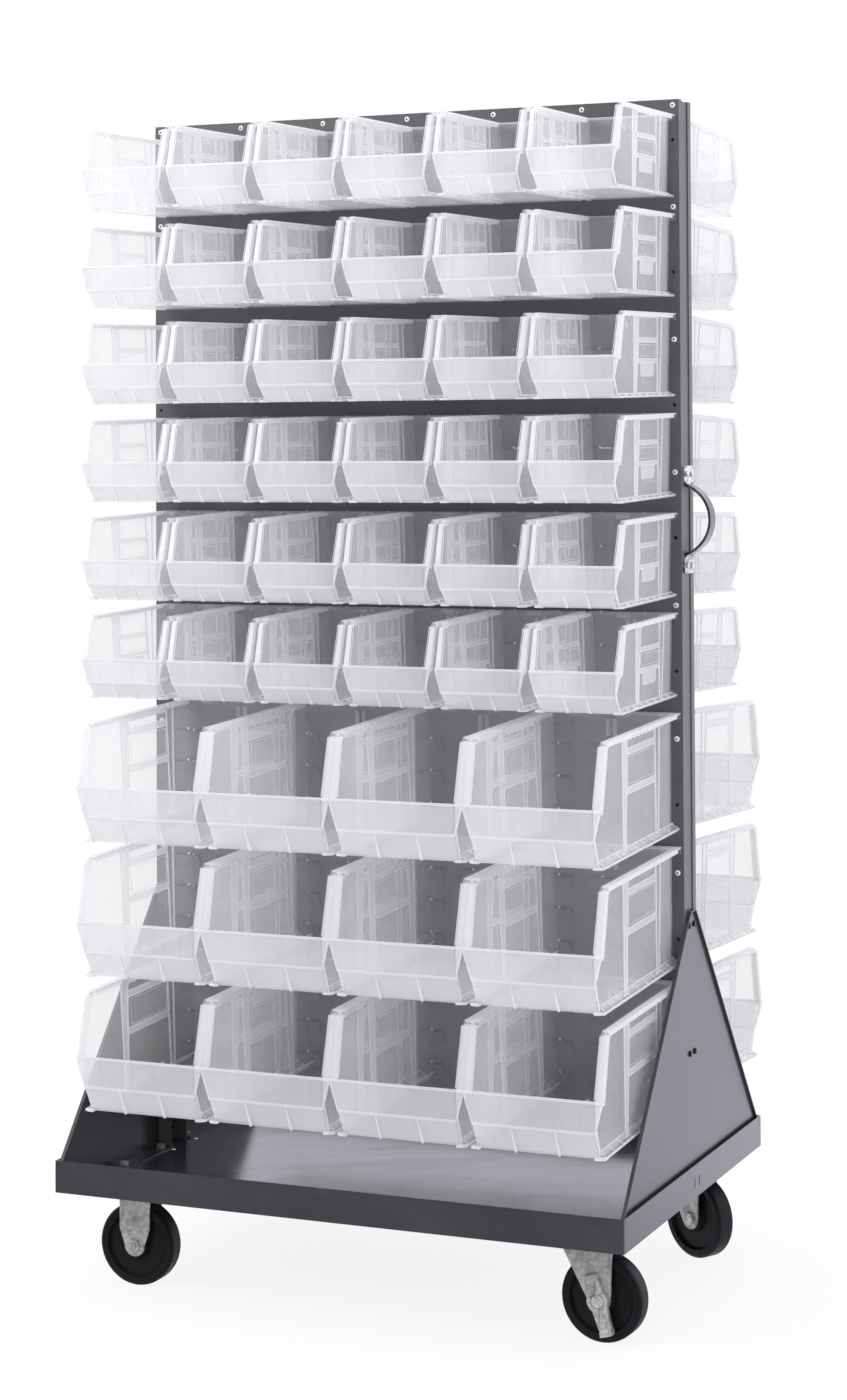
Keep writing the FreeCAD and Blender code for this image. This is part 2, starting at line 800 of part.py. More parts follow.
def swivel_fork():
    # Built about its kingpin, with the wheel one trail length towards +X
    top = crown_top
    dish = rod((0, 0, crown_low), (0, 0, crown_top), crown_radius)
    half = fork_gap / 2 + caster_sheet
    bridge = block((0, caster_trail + swivel_leg_front), (-half, half), (crown_low, crown_top))
    outline = tip_outline(-caster_trail - crown_radius, swivel_leg_front, top)
    legs = [moved(leg, caster_trail) for leg in leg_pair(outline)]
    ring = race(crown_top, ball_z - race_gap / 2, race_inner_radius)
    body = joined([dish, bridge, ring] + legs)
    bore = rod((0, 0, crown_low - 1), (0, 0, crown_top + 1), kingpin_radius + running_clearance)
    return body.cut(bore)


def swivel_balls():
    shapes = []
    for i in range(ball_count):
        turn = 2 * math.pi * i / ball_count
        place = Vector(ball_circle_radius * math.cos(turn), ball_circle_radius * math.sin(turn), ball_z)
        shapes.append(Part.makeSphere(ball_radius, place))
    return shapes


def axle_bolt(head_side, lever):
    # The axle across the fork: a hex head on one side and a threaded end past the nut on the other.
    # With a lever, the head is round and stands off the leg by the lever's thickness.
    face = fork_gap / 2 + caster_sheet
    seat = face + (lever_sheet + 2 * lever_gap if lever else 0)
    end = face + nut_height + bolt_end
    shank = rod((0, head_side * seat, axle_z), (0, -head_side * end, axle_z), axle_radius)
    head_end = (0, head_side * (seat + axle_head_height), axle_z)
    if lever:
        head = rod((0, head_side * seat, axle_z), head_end, axle_head_radius)
    else:
        head = hexagon((0, head_side * seat, axle_z), head_end, axle_head_radius + 1)
    return joined([shank, head])


def axle_nut(side):
    face = fork_gap / 2 + caster_sheet
    start = (0, side * face, axle_z)
    end = (0, side * (face + nut_height), axle_z)
    outer = hexagon(start, end, axle_head_radius + 1)
    return outer.cut(rod(start, end, axle_radius + fastener_clearance))


def brake_lever():
    # A cast lever on the axle, outside the front leg: a ring round the bolt head, a wing and a pedal
    face = -(fork_gap / 2 + caster_sheet + lever_gap)
    back = face - lever_sheet
    front = face - lever_ring_height
    plate = rod((0, face, axle_z), (0, back, axle_z), lever_ring_radius)
    ring = tube((0, back, axle_z), (0, front, axle_z), lever_ring_radius, axle_head_radius + 1)
    ring_half = lever_ring_radius * 0.8
    wing = slab_y([(-ring_half, axle_z), (ring_half * 0.5, axle_z + ring_half),
                   (-lever_wing_lean * 0.2, axle_z + lever_wing_rise),
                   (-lever_wing_lean * 1.6, axle_z + lever_wing_rise - lever_wing_lean * 0.4)],
                  (front, face))
    pedal = slab_y([(-ring_half, axle_z), (ring_half, axle_z),
                    (lever_pedal_lean * 1.5, axle_z - lever_pedal_drop + lever_pedal_lean * 0.3),
                    (lever_pedal_lean * 0.4, axle_z - lever_pedal_drop)],
                   (front, face))
    tread = slab_y([(lever_pedal_lean * 0.4, axle_z - lever_pedal_drop),
                    (lever_pedal_lean * 1.5, axle_z - lever_pedal_drop + lever_pedal_lean * 0.3),
                    (lever_pedal_lean * 1.5, axle_z - lever_pedal_drop + lever_pedal_lean * 0.75),
                    (lever_pedal_lean * 0.3, axle_z - lever_pedal_drop + lever_pedal_lean * 0.45)],
                   (face - lever_pedal_reach, face))
    pocket = rod((0, back, axle_z), (0, front - 1, axle_z), axle_head_radius + 1)
    arms = joined([wing, pedal]).cut(pocket)
    body = joined([plate, ring, arms, tread])
    return body.cut(rod((0, face + 1, axle_z), (0, front - 1, axle_z), axle_radius + running_clearance))


# Bins

def bin_tilt(b):
    # The nose-down angle, from a hook against the panel and a foot that is set back from it
    reach = math.hypot(b["foot_setback"], b["height"])
    lean = math.atan2(b["foot_setback"], b["height"])
    return math.degrees(lean + math.asin((hook_back_gap - bin_seat_gap) / reach))


def half_width_at(b, z):
    share = z / b["height"]
    return (b["floor_width"] * (1 - share) + b["top_width"] * share) / 2


def side_outline(b):
    # The side wall seen from the side: distance from the hook's back, and height, anticlockwise
    front = b["length"]
    top = b["height"]
    cheek = front - lip_rim - b["cheek_lean"]
    return [(b["hook_depth"], 0), (front - b["nose_cut"], 0), (front - front_wall_lean, b["nose_height"]),
            (front, b["lip_height"]), (front - lip_rim, b["lip_height"]), (cheek, top - brow_step),
            (cheek - brow_depth + brow_step, top - brow_step), (cheek - brow_depth, top),
            (b["hook_depth"], top)]


def cavity_outline(b):
    drawn_in = inset(side_outline(b), bin_wall)
    beyond = b["length"] + 10
    above = b["height"] + 10
    wall_top = (b["length"] - bin_wall, b["lip_height"])
    return [drawn_in[0], drawn_in[1], drawn_in[2], wall_top, (beyond, b["lip_height"]), (beyond, above),
            (drawn_in[0][0], above)]


def across(outline, v):
    # An outline of distance from the panel and height, made thick across the bin
    return slab_x([(-u, z) for u, z in outline], v)


def tapered(b, outline, wall):
    # An outline across the whole bin, trimmed to the leaning side walls less a wall
    reach = b["width"]
    top = b["height"]
    low = half_width_at(b, -top) - wall
    high = half_width_at(b, 2 * top) - wall
    section = [(-low, -top), (low, -top), (high, 2 * top), (-high, 2 * top)]
    return across(outline, (-reach, reach)).common(slab_y(section, (-2 * b["length"], b["length"])))


def both_sides(shape):
    return [shape, mirrored_x(shape)]


def bin_ribs(b):
    # Two bands on each side wall, wider at the top, standing a little proud of it
    shapes = []
    top = b["height"] - bin_wall
    for share in (b["rib_near"], b["rib_far"]):
        middle = b["hook_depth"] + share * (b["length"] - b["hook_depth"])
        half_low = rib_low_width / 2
        half_high = rib_high_width / 2
        outline = [(middle - half_low, foot_sheet), (middle + half_low, foot_sheet),
                   (middle + half_high, top), (middle - half_high, top)]
        band = tapered(b, outline, -rib_depth)
        core = tapered(b, outline, bin_wall / 2)
        shapes.append(band.cut(core))
    return shapes


def bin_gussets(b):
    # Thin triangles under the sloping nose
    nose = b["length"] - front_wall_lean
    start = b["length"] - b["nose_cut"]
    outline = [(start - bin_wall, 0), (start + 2 * bin_wall, 0), (nose, b["nose_height"]),
               (nose - bin_wall, b["nose_height"] + bin_wall)]
    spacing = b["floor_width"] * gusset_share
    shapes = []
    for v in (-spacing, spacing):
        shapes.append(across(outline, (v - gusset_sheet / 2, v + gusset_sheet / 2)))
    return shapes


def bin_solid(b):
    # One bin in its own frame: hook's back on Y = 0, floor on Z = 0, front towards -Y
    half = b["width"] / 2
    top = b["height"]
    outline = side_outline(b)
    cheek_low = outline[4]
    cheek_high = outline[5]
    brow = outline[7][0]
    shapes = [tapered(b, outline, 0)]
    shapes += bin_ribs(b)
    shapes += bin_gussets(b)
    shapes.append(block((-half, half), (-b["hook_depth"] - bin_wall, 0), (top - bin_wall, top)))
    shapes.append(block((-half, half), (-bin_wall, 0), (top - hook_lip, top)))
    inner = b["top_width"] / 2 - bin_wall
    shapes += both_sides(block((inner, half), (-brow, 0), (top - bin_wall, top)))
    shapes += both_sides(block((half - bin_wall, half), (-brow, -b["hook_depth"]),
                               (top - ledge_skirt, top)))
    lean = (cheek_low[0] - cheek_high[0]) / (cheek_high[1] - cheek_low[1])
    flange_low = cheek_low[1] - ledge_skirt
    start = (cheek_low[0] + lean * ledge_skirt, flange_low)
    strip = [start, cheek_high, (cheek_high[0] - bin_wall, cheek_high[1]),
             (start[0] - bin_wall, flange_low)]
    shapes += both_sides(across(strip, (half_width_at(b, cheek_low[1]) - bin_wall, half)))
    skirt = [start, cheek_high, (cheek_high[0] - cheek_flange_depth, cheek_high[1]),
             (start[0] - cheek_flange_depth, flange_low)]
    shapes += both_sides(across(skirt, (half - bin_wall, half)))
    foot_half = b["foot_width"] / 2
    foot_inner = b["floor_width"] / 2 - bin_wall
    foot_y = (-(b["length"] - b["nose_cut"]), -b["foot_setback"])
    shapes += both_sides(block((foot_inner, foot_half), foot_y, (0, foot_sheet)))
    body = joined(shapes)
    return body.cut(tapered(b, cavity_outline(b), bin_wall))


def rows_per_bin(b):
    return math.ceil((b["height"] + lift_room) / row_pitch)


def bin_places():
    # The louver row that each bin row hangs from, top to bottom
    places = []
    row = 0
    step = rows_per_bin(small_bin)
    for i in range(small_rows):
        places.append(("small", i + 1, row))
        row += step
    step = rows_per_bin(big_bin)
    number = 1
    while row < len(slit_zs) and slit_zs[row] - big_bin["height"] > panel_low:
        places.append(("big", number, row))
        number += 1
        row += step
    return places


def hook_height(b, row):
    # Height of the hook's top when the hook rests on the flaps of a louver row
    tilt = math.radians(bin_tilt(b))
    flap_top = slit_zs[row] - flap_length + flap_rise
    over_flap = (flap_lean - hook_back_gap) * math.sin(tilt)
    return flap_top + hook_clearance + bin_wall * math.cos(tilt) + over_flap


def bin_xs(b):
    pitch = b["width"] + b["side_gap"]
    count = int(panel_width / pitch)
    last = panel_half - b["end_margin"] - b["width"] / 2
    return [last - i * pitch for i in range(count)]


def hung_bins(solid, b, row, side):
    # A row of bins on the front (side -1) or the back (side 1)
    pivot = (0, 0, b["height"])
    one = turned(solid, pivot, (1, 0, 0), bin_tilt(b))
    one = moved(one, 0, -face_y - hook_back_gap, hook_height(b, row) - b["height"])
    if side > 0:
        one = half_turned(one)
    return [moved(one, x) for x in bin_xs(b)]


def build():
    save("base_tray", [base_tray()])
    plate = end_plate()
    save("end_plate_right", [plate])
    save("end_plate_left", [mirrored_x(plate)])
    save("post_right", [post(1)])
    save("post_left", [post(-1)])
    save("top_rail", [rail(True)])
    save("bottom_rail", [rail(False)])
    panel = louver_panel()
    save("louver_panel_front", [panel])
    save("louver_panel_back", [half_turned(panel)])
    save("panel_rivets", panel_rivets())
    save("end_plate_screws", end_plate_screws())
    plate_seat = deck_top + tray_sheet
    save("deck_bolts", [bolt_down(x, y, plate_seat, 2 * tray_sheet) for x, y in plate_bolt_places()])
    save("deck_nuts", [nut_below(x, y, deck_low) for x, y in plate_bolt_places()])
    save("handle", [handle()])
    save("handle_screws", handle_screws())

    centres = caster_centres()
    grip = tray_sheet + caster_sheet
    save("caster_bolts", [bolt_down(x, y, deck_top, grip) for x, y in caster_bolt_places()])
    save("caster_nuts", [nut_below(x, y, deck_low - caster_sheet) for x, y in caster_bolt_places()])
    rigid_sleeves = []
    rigid_bolts = []
    rigid_nuts = []
    for end in ("front", "back"):
        cx, cy = centres["rigid_" + end]
        outside = -1 if end == "front" else 1
        save("rigid_fork_" + end, [rigid_fork(cx, cy)])
        save("rigid_wheel_" + end, [moved(wheel(), cx, cy)])
        rigid_sleeves.append(moved(axle_sleeve(), cx, cy))
        rigid_bolts.append(moved(axle_bolt(-outside, False), cx, cy))
        rigid_nuts.append(moved(axle_nut(outside), cx, cy))
    save("rigid_axle_sleeves", rigid_sleeves)
    save("rigid_axle_bolts", rigid_bolts)
    save("rigid_axle_nuts", rigid_nuts)

    for end, heading, lever in (("front", front_heading, True), ("back", back_heading, False)):
        cx, cy = centres["swivel_" + end]

        def placed(shape, trail=0.0):
            return moved(turned(moved(shape, trail), (0, 0, 0), (0, 0, 1), heading), cx, cy)

        save("swivel_plate_" + end, [swivel_plate(cx, cy)])
        save("kingpin_" + end, [moved(kingpin(), cx, cy)])
        save("swivel_balls_" + end, [placed(ball) for ball in swivel_balls()])
        save("swivel_fork_" + end, [placed(swivel_fork())])
        save("swivel_wheel_" + end, [placed(wheel(), caster_trail)])
        save("swivel_axle_sleeve_" + end, [placed(axle_sleeve(), caster_trail)])
        save("swivel_axle_bolt_" + end, [placed(axle_bolt(-1, lever), caster_trail)])
        save("swivel_axle_nut_" + end, [placed(axle_nut(1), caster_trail)])
        if lever:
            save("brake_lever", [placed(brake_lever(), caster_trail)])

    solids = {"small": bin_solid(small_bin), "big": bin_solid(big_bin)}
    sizes = {"small": small_bin, "big": big_bin}
    for size, number, row in bin_places():
        for face, side in (("front", -1), ("back", 1)):
            name = "{}_bins_{}_{}".format(size, face, number)
            save(name, hung_bins(solids[size], sizes[size], row, side))


build()
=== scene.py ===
import math

import bmesh
import bpy
from mathutils import Matrix, Vector


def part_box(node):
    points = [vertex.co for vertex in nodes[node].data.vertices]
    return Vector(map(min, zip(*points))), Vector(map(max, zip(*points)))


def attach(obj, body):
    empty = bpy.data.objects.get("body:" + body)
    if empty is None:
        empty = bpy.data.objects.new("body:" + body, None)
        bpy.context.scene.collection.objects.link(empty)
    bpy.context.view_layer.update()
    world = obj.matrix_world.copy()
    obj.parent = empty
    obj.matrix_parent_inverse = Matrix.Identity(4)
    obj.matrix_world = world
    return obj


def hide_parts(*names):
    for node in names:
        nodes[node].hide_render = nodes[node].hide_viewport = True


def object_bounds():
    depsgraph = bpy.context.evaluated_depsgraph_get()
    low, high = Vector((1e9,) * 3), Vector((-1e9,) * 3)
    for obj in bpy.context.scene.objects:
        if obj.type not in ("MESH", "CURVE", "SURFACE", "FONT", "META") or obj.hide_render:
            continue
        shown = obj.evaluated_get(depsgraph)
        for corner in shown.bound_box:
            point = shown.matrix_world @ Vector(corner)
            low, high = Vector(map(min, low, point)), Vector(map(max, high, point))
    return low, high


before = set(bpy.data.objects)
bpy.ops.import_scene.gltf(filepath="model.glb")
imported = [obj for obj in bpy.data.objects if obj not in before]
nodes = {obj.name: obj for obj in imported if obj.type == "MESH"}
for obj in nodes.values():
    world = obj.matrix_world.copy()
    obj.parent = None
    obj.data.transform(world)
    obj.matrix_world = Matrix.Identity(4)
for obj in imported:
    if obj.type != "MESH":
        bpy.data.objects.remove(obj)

cadLow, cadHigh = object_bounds()
print("frame loaded:", len(nodes), "nodes")


# Node group helpers

def newGroup(name, inputs, outputs):
    group = bpy.data.node_groups.new(name, "ShaderNodeTree")
    for label, kind, value in inputs:
        socket = group.interface.new_socket(name=label, in_out="INPUT", socket_type=kind)
        socket.default_value = value
    for label, kind in outputs:
        group.interface.new_socket(name=label, in_out="OUTPUT", socket_type=kind)
    tree = group.nodes
    return group, tree.new("NodeGroupInput"), tree.new("NodeGroupOutput")


def addNode(tree, kind, **settings):
    node = tree.nodes.new(kind)
    for key, value in settings.items():
        setattr(node, key, value)
    return node


def mathNode(tree, operation, a, b=None, clamp=False):
    node = addNode(tree, "ShaderNodeMath", operation=operation, use_clamp=clamp)
    for slot, value in enumerate((a, b)):
        if value is None:
            continue
        if isinstance(value, (int, float)):
            node.inputs[slot].default_value = value
        else:
            tree.links.new(value, node.inputs[slot])
    return node.outputs[0]


def noiseNode(tree, vector, scale, detail, roughness=0.5, distortion=0.0):
    node = addNode(tree, "ShaderNodeTexNoise")
    node.inputs["Detail"].default_value = detail
    node.inputs["Roughness"].default_value = roughness
    node.inputs["Distortion"].default_value = distortion
    if isinstance(scale, (int, float)):
        node.inputs["Scale"].default_value = scale
    else:
        tree.links.new(scale, node.inputs["Scale"])
    tree.links.new(vector, node.inputs["Vector"])
    return node


def rangeNode(tree, value, low, high, toLow=0.0, toHigh=1.0):
    node = addNode(tree, "ShaderNodeMapRange")
    tree.links.new(value, node.inputs["Value"])
    ends = {"From Min": low, "From Max": high, "To Min": toLow, "To Max": toHigh}
    for label, number in ends.items():
        node.inputs[label].default_value = number
    return node.outputs["Result"]


def mixColours(tree, share, a, b, blend="MIX"):
    node = addNode(tree, "ShaderNodeMix", data_type="RGBA", blend_type=blend)
    for slot, value in ((0, share), (6, a), (7, b)):
        if isinstance(value, (int, float, tuple)):
            node.inputs[slot].default_value = value
        else:
            tree.links.new(value, node.inputs[slot])
    return node.outputs[2]


# Shared effects

def grainGroup():
    # fine bumps of a sprayed or cast skin, with a slow drift of tone
    group, given, made = newGroup(
        "surfaceGrain",
        [("Scale", "NodeSocketFloat", 900.0), ("Drift Scale", "NodeSocketFloat", 6.0)],
        [("Height", "NodeSocketFloat"), ("Drift", "NodeSocketFloat")])
    place = addNode(group, "ShaderNodeTexCoord").outputs["Object"]
    fine = noiseNode(group, place, given.outputs["Scale"], detail=3.0)
    slow = noiseNode(group, place, given.outputs["Drift Scale"], detail=4.0, roughness=0.6)
    group.links.new(fine.outputs["Fac"], made.inputs["Height"])
    group.links.new(rangeNode(group, slow.outputs["Fac"], 0.3, 0.7), made.inputs["Drift"])
    return group


def scuffGroup():
    # thin scratches, small nicks and wiped smears
    group, given, made = newGroup(
        "scuffMarks",
        [("Nick Amount", "NodeSocketFloat", 0.5), ("Smear Amount", "NodeSocketFloat", 0.5)],
        [("Nicks", "NodeSocketFloat"), ("Smears", "NodeSocketFloat")])
    place = addNode(group, "ShaderNodeTexCoord").outputs["Object"]
    stretched = addNode(group, "ShaderNodeMapping", vector_type="TEXTURE")
    stretched.inputs["Rotation"].default_value = (0.35, 0.2, 0.45)
    stretched.inputs["Scale"].default_value = (3.2, 0.8, 1.0)
    group.links.new(place, stretched.inputs["Vector"])
    lines = noiseNode(group, stretched.outputs[0], 46.0, detail=3.0, roughness=0.6, distortion=0.6)
    spots = noiseNode(group, place, 9.0, detail=2.0)
    nicks = rangeNode(group, lines.outputs["Fac"], 0.70, 0.74)
    near = rangeNode(group, spots.outputs["Fac"], 0.50, 0.62)
    both = mathNode(group, "MULTIPLY", nicks, near)
    group.links.new(mathNode(group, "MULTIPLY", both, given.outputs["Nick Amount"]),
                    made.inputs["Nicks"])
    wiped = noiseNode(group, stretched.outputs[0], 5.0, detail=6.0, roughness=0.65, distortion=1.6)
    smears = rangeNode(group, wiped.outputs["Fac"], 0.42, 0.70)
    group.links.new(mathNode(group, "MULTIPLY", smears, given.outputs["Smear Amount"]),
                    made.inputs["Smears"])
    return group


def spangleGroup():
    # the mottled patches of a galvanised or cast zinc skin
    group, given, made = newGroup(
        "zincSpangle",
        [("Scale", "NodeSocketFloat", 160.0)],
        [("Patches", "NodeSocketFloat"), ("Stain", "NodeSocketFloat")])
    place = addNode(group, "ShaderNodeTexCoord").outputs["Object"]
    cells = addNode(group, "ShaderNodeTexVoronoi")
    group.links.new(place, cells.inputs["Vector"])
    group.links.new(given.outputs["Scale"], cells.inputs["Scale"])
    tone = addNode(group, "ShaderNodeSeparateColor")
    group.links.new(cells.outputs["Color"], tone.inputs["Color"])
    group.links.new(tone.outputs[0], made.inputs["Patches"])
    stain = noiseNode(group, place, 55.0, detail=5.0, roughness=0.7)
    group.links.new(rangeNode(group, stain.outputs["Fac"], 0.45, 0.68), made.inputs["Stain"])
    return group


grain = grainGroup()
scuffs = scuffGroup()
spangle = spangleGroup()


def placeGroup(tree, group, **values):
    node = addNode(tree, "ShaderNodeGroup", node_tree=group)
    for key, value in values.items():
        node.inputs[key].default_value = value
    return node


def newMaterial(name, values):
    material = bpy.data.materials.new(name)
    material.use_nodes = True
    tree = material.node_tree
    shader = tree.nodes["Principled BSDF"]
    for key, value in values.items():
        shader.inputs[key].default_value = value
    return material, tree, shader


def bumpFrom(tree, shader, height, distance, strength=1.0):
    bump = addNode(tree, "ShaderNodeBump")
    bump.inputs["Distance"].default_value = distance
    bump.inputs["Strength"].default_value = strength
    tree.links.new(height, bump.inputs["Height"])
    tree.links.new(bump.outputs[0], shader.inputs["Normal"])


def glossFrom(tree, shader, mask, look):
    # duller where the mask is white
    rough = rangeNode(tree, mask, 0.0, 1.0, look["gloss"], look["gloss"] + look["dull"])
    tree.links.new(rough, shader.inputs["Roughness"])


# Materials

def paint(name, look):
    # baked enamel on sheet steel, and the near-black painted shade of the louver slits
    material, tree, shader = newMaterial(name, {"IOR": 1.5, "Specular IOR Level": look["shine"]})
    skin = placeGroup(tree, grain, **{"Scale": 700.0, "Drift Scale": 5.0})
    marks = placeGroup(tree, scuffs,
                       **{"Nick Amount": look["nicks"], "Smear Amount": look["smears"]})
    base = mixColours(tree, skin.outputs["Drift"], look["dark"], look["light"])
    smeared = mixColours(tree, marks.outputs["Smears"], base, look["smear"])
    nicked = mixColours(tree, marks.outputs["Nicks"], smeared, look["nick"])
    tree.links.new(nicked, shader.inputs["Base Color"])
    glossFrom(tree, shader, marks.outputs["Smears"], look)
    bumpFrom(tree, shader, skin.outputs["Height"], look["grainDepth"], look["bump"])
    return material


rackPaint = {
    "dark": (0.034, 0.031, 0.039, 1.0),
    "light": (0.042, 0.039, 0.048, 1.0),
    "smear": (0.056, 0.053, 0.064, 1.0),
    "nick": (0.012, 0.011, 0.014, 1.0),
    "gloss": 0.13,
    "dull": 0.16,
    "shine": 0.5,
    "nicks": 1.0,
    "smears": 0.6,
    "grainDepth": 0.00012,
    "bump": 0.3,
}
platePaint = dict(rackPaint, gloss=0.26, nicks=0.5, smears=0.1, bump=0.06)
# painted light: the panels, posts and rails get the rack's enamel about two and a half times
# lighter, standing in for light that the space between the bins lacks
litPanelPaint = dict(rackPaint, dark=(0.086, 0.079, 0.089, 1.0), light=(0.104, 0.096, 0.108, 1.0),
                  gloss=0.36, shine=0.32, nicks=0.3, smears=0.2, bump=0.4)
# painted shade: near-black paint for the strips that stand in for the shadow inside each louver
# slit
slitShadePaint = dict(litPanelPaint, dark=(0.010, 0.010, 0.011, 1.0), light=(0.014, 0.013, 0.015, 1.0),
                 smears=0.0)


def zinc(name, look):
    # patchy grey plating with darker stains
    material, tree, shader = newMaterial(name, {"Metallic": look["metal"]})
    pattern = placeGroup(tree, spangle, Scale=look["patches"])
    patches = mixColours(tree, pattern.outputs["Patches"], look["dark"], look["light"])
    stained = mixColours(tree, pattern.outputs["Stain"], patches, look["stain"])
    tree.links.new(stained, shader.inputs["Base Color"])
    glossFrom(tree, shader, pattern.outputs["Patches"], look)
    bumpFrom(tree, shader, pattern.outputs["Stain"], look["stainDepth"], look["bump"])
    return material


zincPlate = {
    "patches": 210.0,
    "dark": (0.50, 0.49, 0.47, 1.0),
    "light": (0.68, 0.67, 0.64, 1.0),
    "stain": (0.24, 0.23, 0.22, 1.0),
    "stainDepth": 0.0002,
    "bump": 0.4,
    "gloss": 0.38,
    "dull": 0.18,
    "metal": 0.6,
}
castZinc = dict(zincPlate, patches=320.0, light=(0.74, 0.73, 0.70, 1.0), gloss=0.34)
boltZinc = dict(zincPlate, patches=500.0, dark=(0.60, 0.60, 0.59, 1.0),
                light=(0.78, 0.77, 0.75, 1.0), gloss=0.25)
# near-white: the panel rivets, and the painted light spots at the middle of each louver slit
rivetZincAndLightSpots = dict(boltZinc, dark=(0.82, 0.82, 0.82, 1.0), light=(0.92, 0.92, 0.92, 1.0),
                 stain=(0.70, 0.70, 0.70, 1.0), metal=0.1)


def blackened(name, look):
    # oiled black skin of the screws, also used as painted shade in the hollow centres of the panel
    # rivets
    material, tree, shader = newMaterial(name, {"Metallic": 1.0})
    skin = placeGroup(tree, grain, **{"Scale": 300.0, "Drift Scale": 30.0})
    tree.links.new(mixColours(tree, skin.outputs["Drift"], look["dark"], look["light"]),
                   shader.inputs["Base Color"])
    glossFrom(tree, shader, skin.outputs["Drift"], look)
    return material


def handleLook(name, look):
    # painted reflection: the curved strap's plating gets a near-black colour that stands in for the
    # dark surroundings it mirrors; blotched plating on the handle's two feet
    material, tree, shader = newMaterial(name, {"Metallic": 1.0})
    low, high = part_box("handle")
    place = addNode(tree, "ShaderNodeTexCoord").outputs["Object"]
    parts = addNode(tree, "ShaderNodeSeparateXYZ")
    tree.links.new(place, parts.inputs[0])
    along = mathNode(tree, "SUBTRACT", parts.outputs["Z"], (low.z + high.z) / 2)
    fromMiddle = mathNode(tree, "ABSOLUTE", along)
    fade = look["footFade"]
    foot = rangeNode(tree, fromMiddle, look["footStart"] - fade, look["footStart"] + fade)
    blotch = noiseNode(tree, place, 110.0, detail=4.0, roughness=0.6, distortion=1.2)
    tone = rangeNode(tree, blotch.outputs["Fac"], 0.40, 0.60)
    feet = mixColours(tree, tone, look["footDark"], look["footLight"])
    tree.links.new(mixColours(tree, foot, look["bowDarkReflection"], feet), shader.inputs["Base Color"])
    glossFrom(tree, shader, foot, look)
    pits = mathNode(tree, "MULTIPLY", tone, foot)
    bumpFrom(tree, shader, pits, look["blotchDepth"], look["bump"])
    return material


handleChrome = {
    # painted reflection: near-black plating colour standing in for the dark surroundings that the
    # curved strap mirrors
    "bowDarkReflection": (0.085, 0.085, 0.095, 1.0),
    "footDark": (0.22, 0.22, 0.22, 1.0),
    "footLight": (0.80, 0.80, 0.80, 1.0),
    "footStart": 0.0545,
    "footFade": 0.001,
    "blotchDepth": 0.0005,
    "bump": 0.6,
    "gloss": 0.16,
    "dull": 0.22,
}
blackOxide = {
    "dark": (0.018, 0.018, 0.020, 1.0),
    "light": (0.035, 0.035, 0.038, 1.0),
    "gloss": 0.42,
    "dull": 0.07,
}


def wheelRubber(name, look):
    # hard black tread and hub, a little dusty
    material, tree, shader = newMaterial(name, {"IOR": 1.48, "Specular IOR Level": look["shine"]})
    skin = placeGroup(tree, grain, **{"Scale": 500.0, "Drift Scale": 22.0})
    marks = placeGroup(tree, scuffs, **{"Smear Amount": look["smears"]})
    worn = mixColours(tree, marks.outputs["Smears"], look["colour"], look["dust"])
    tree.links.new(worn, shader.inputs["Base Color"])
    glossFrom(tree, shader, skin.outputs["Drift"], look)
    bumpFrom(tree, shader, skin.outputs["Height"], look["grainDepth"], look["bump"])
    return material


wheelBlack = {
    "colour": (0.006, 0.006, 0.008, 1.0),
    "dust": (0.012, 0.012, 0.015, 1.0),
    "gloss": 0.42,
    "dull": 0.15,
    "shine": 0.22,
    "smears": 0.5,
    "grainDepth": 0.00015,
    "bump": 0.5,
}


def milkyPlastic(name, look):
    # clear polypropylene: part of the light goes straight through each skin, and the rest is spread
    # to both sides; a slanting look crosses more of the wall and meets more of the milk
    material, tree, shader = newMaterial(name, {"IOR": 1.49, "Roughness": look["gloss"]})
    skin = placeGroup(tree, grain, **{"Scale": 260.0, "Drift Scale": 16.0})
    tone = mixColours(tree, skin.outputs["Drift"], look["dark"], look["light"])
    tree.links.new(tone, shader.inputs["Base Color"])
    through = addNode(tree, "ShaderNodeBsdfTranslucent")
    tree.links.new(tone, through.inputs["Color"])
    body = addNode(tree, "ShaderNodeMixShader")
    body.inputs[0].default_value = look["spread"]
    tree.links.new(shader.outputs[0], body.inputs[1])
    tree.links.new(through.outputs[0], body.inputs[2])
    angle = addNode(tree, "ShaderNodeLayerWeight")
    angle.inputs["Blend"].default_value = 0.5
    slant = mathNode(tree, "SUBTRACT", 1.0, angle.outputs["Facing"])
    slant = mathNode(tree, "MAXIMUM", slant, look["shallow"])
    path = mathNode(tree, "DIVIDE", 1.0, slant)
    passed = mathNode(tree, "POWER", 1.0 - look["milk"], path)
    share = mathNode(tree, "SUBTRACT", 1.0, passed, clamp=True)
    clear = addNode(tree, "ShaderNodeBsdfTransparent")
    out = addNode(tree, "ShaderNodeMixShader")
    tree.links.new(share, out.inputs[0])
    tree.links.new(clear.outputs[0], out.inputs[1])
    tree.links.new(body.outputs[0], out.inputs[2])
    tree.links.new(out.outputs[0], tree.nodes["Material Output"].inputs["Surface"])
    bumpFrom(tree, shader, skin.outputs["Drift"], look["waveDepth"], look["bump"])
    return material


binPlastic = {
    "dark": (0.88, 0.88, 0.905, 1.0),
    "light": (0.915, 0.915, 0.935, 1.0),
    "gloss": 0.28,
    "spread": 0.45,
    "shallow": 0.46,  # keeps a side wall under a quarter cloudy, so that what is behind stays sharp
    "milk": 0.12,
    "waveDepth": 0.0004,
    "bump": 0.3,
}
wallLook = milkyPlastic("bin_wall", binPlastic)
frontLook = milkyPlastic("bin_front", dict(binPlastic, milk=0.39))
rimLook = milkyPlastic("bin_rim", dict(binPlastic, milk=0.60))
backLook = milkyPlastic("bin_back", dict(binPlastic, milk=0.20))
binLooks = [wallLook, frontLook, rimLook, backLook]
wallSkin, frontSkin, rimSkin, backSkin = range(4)

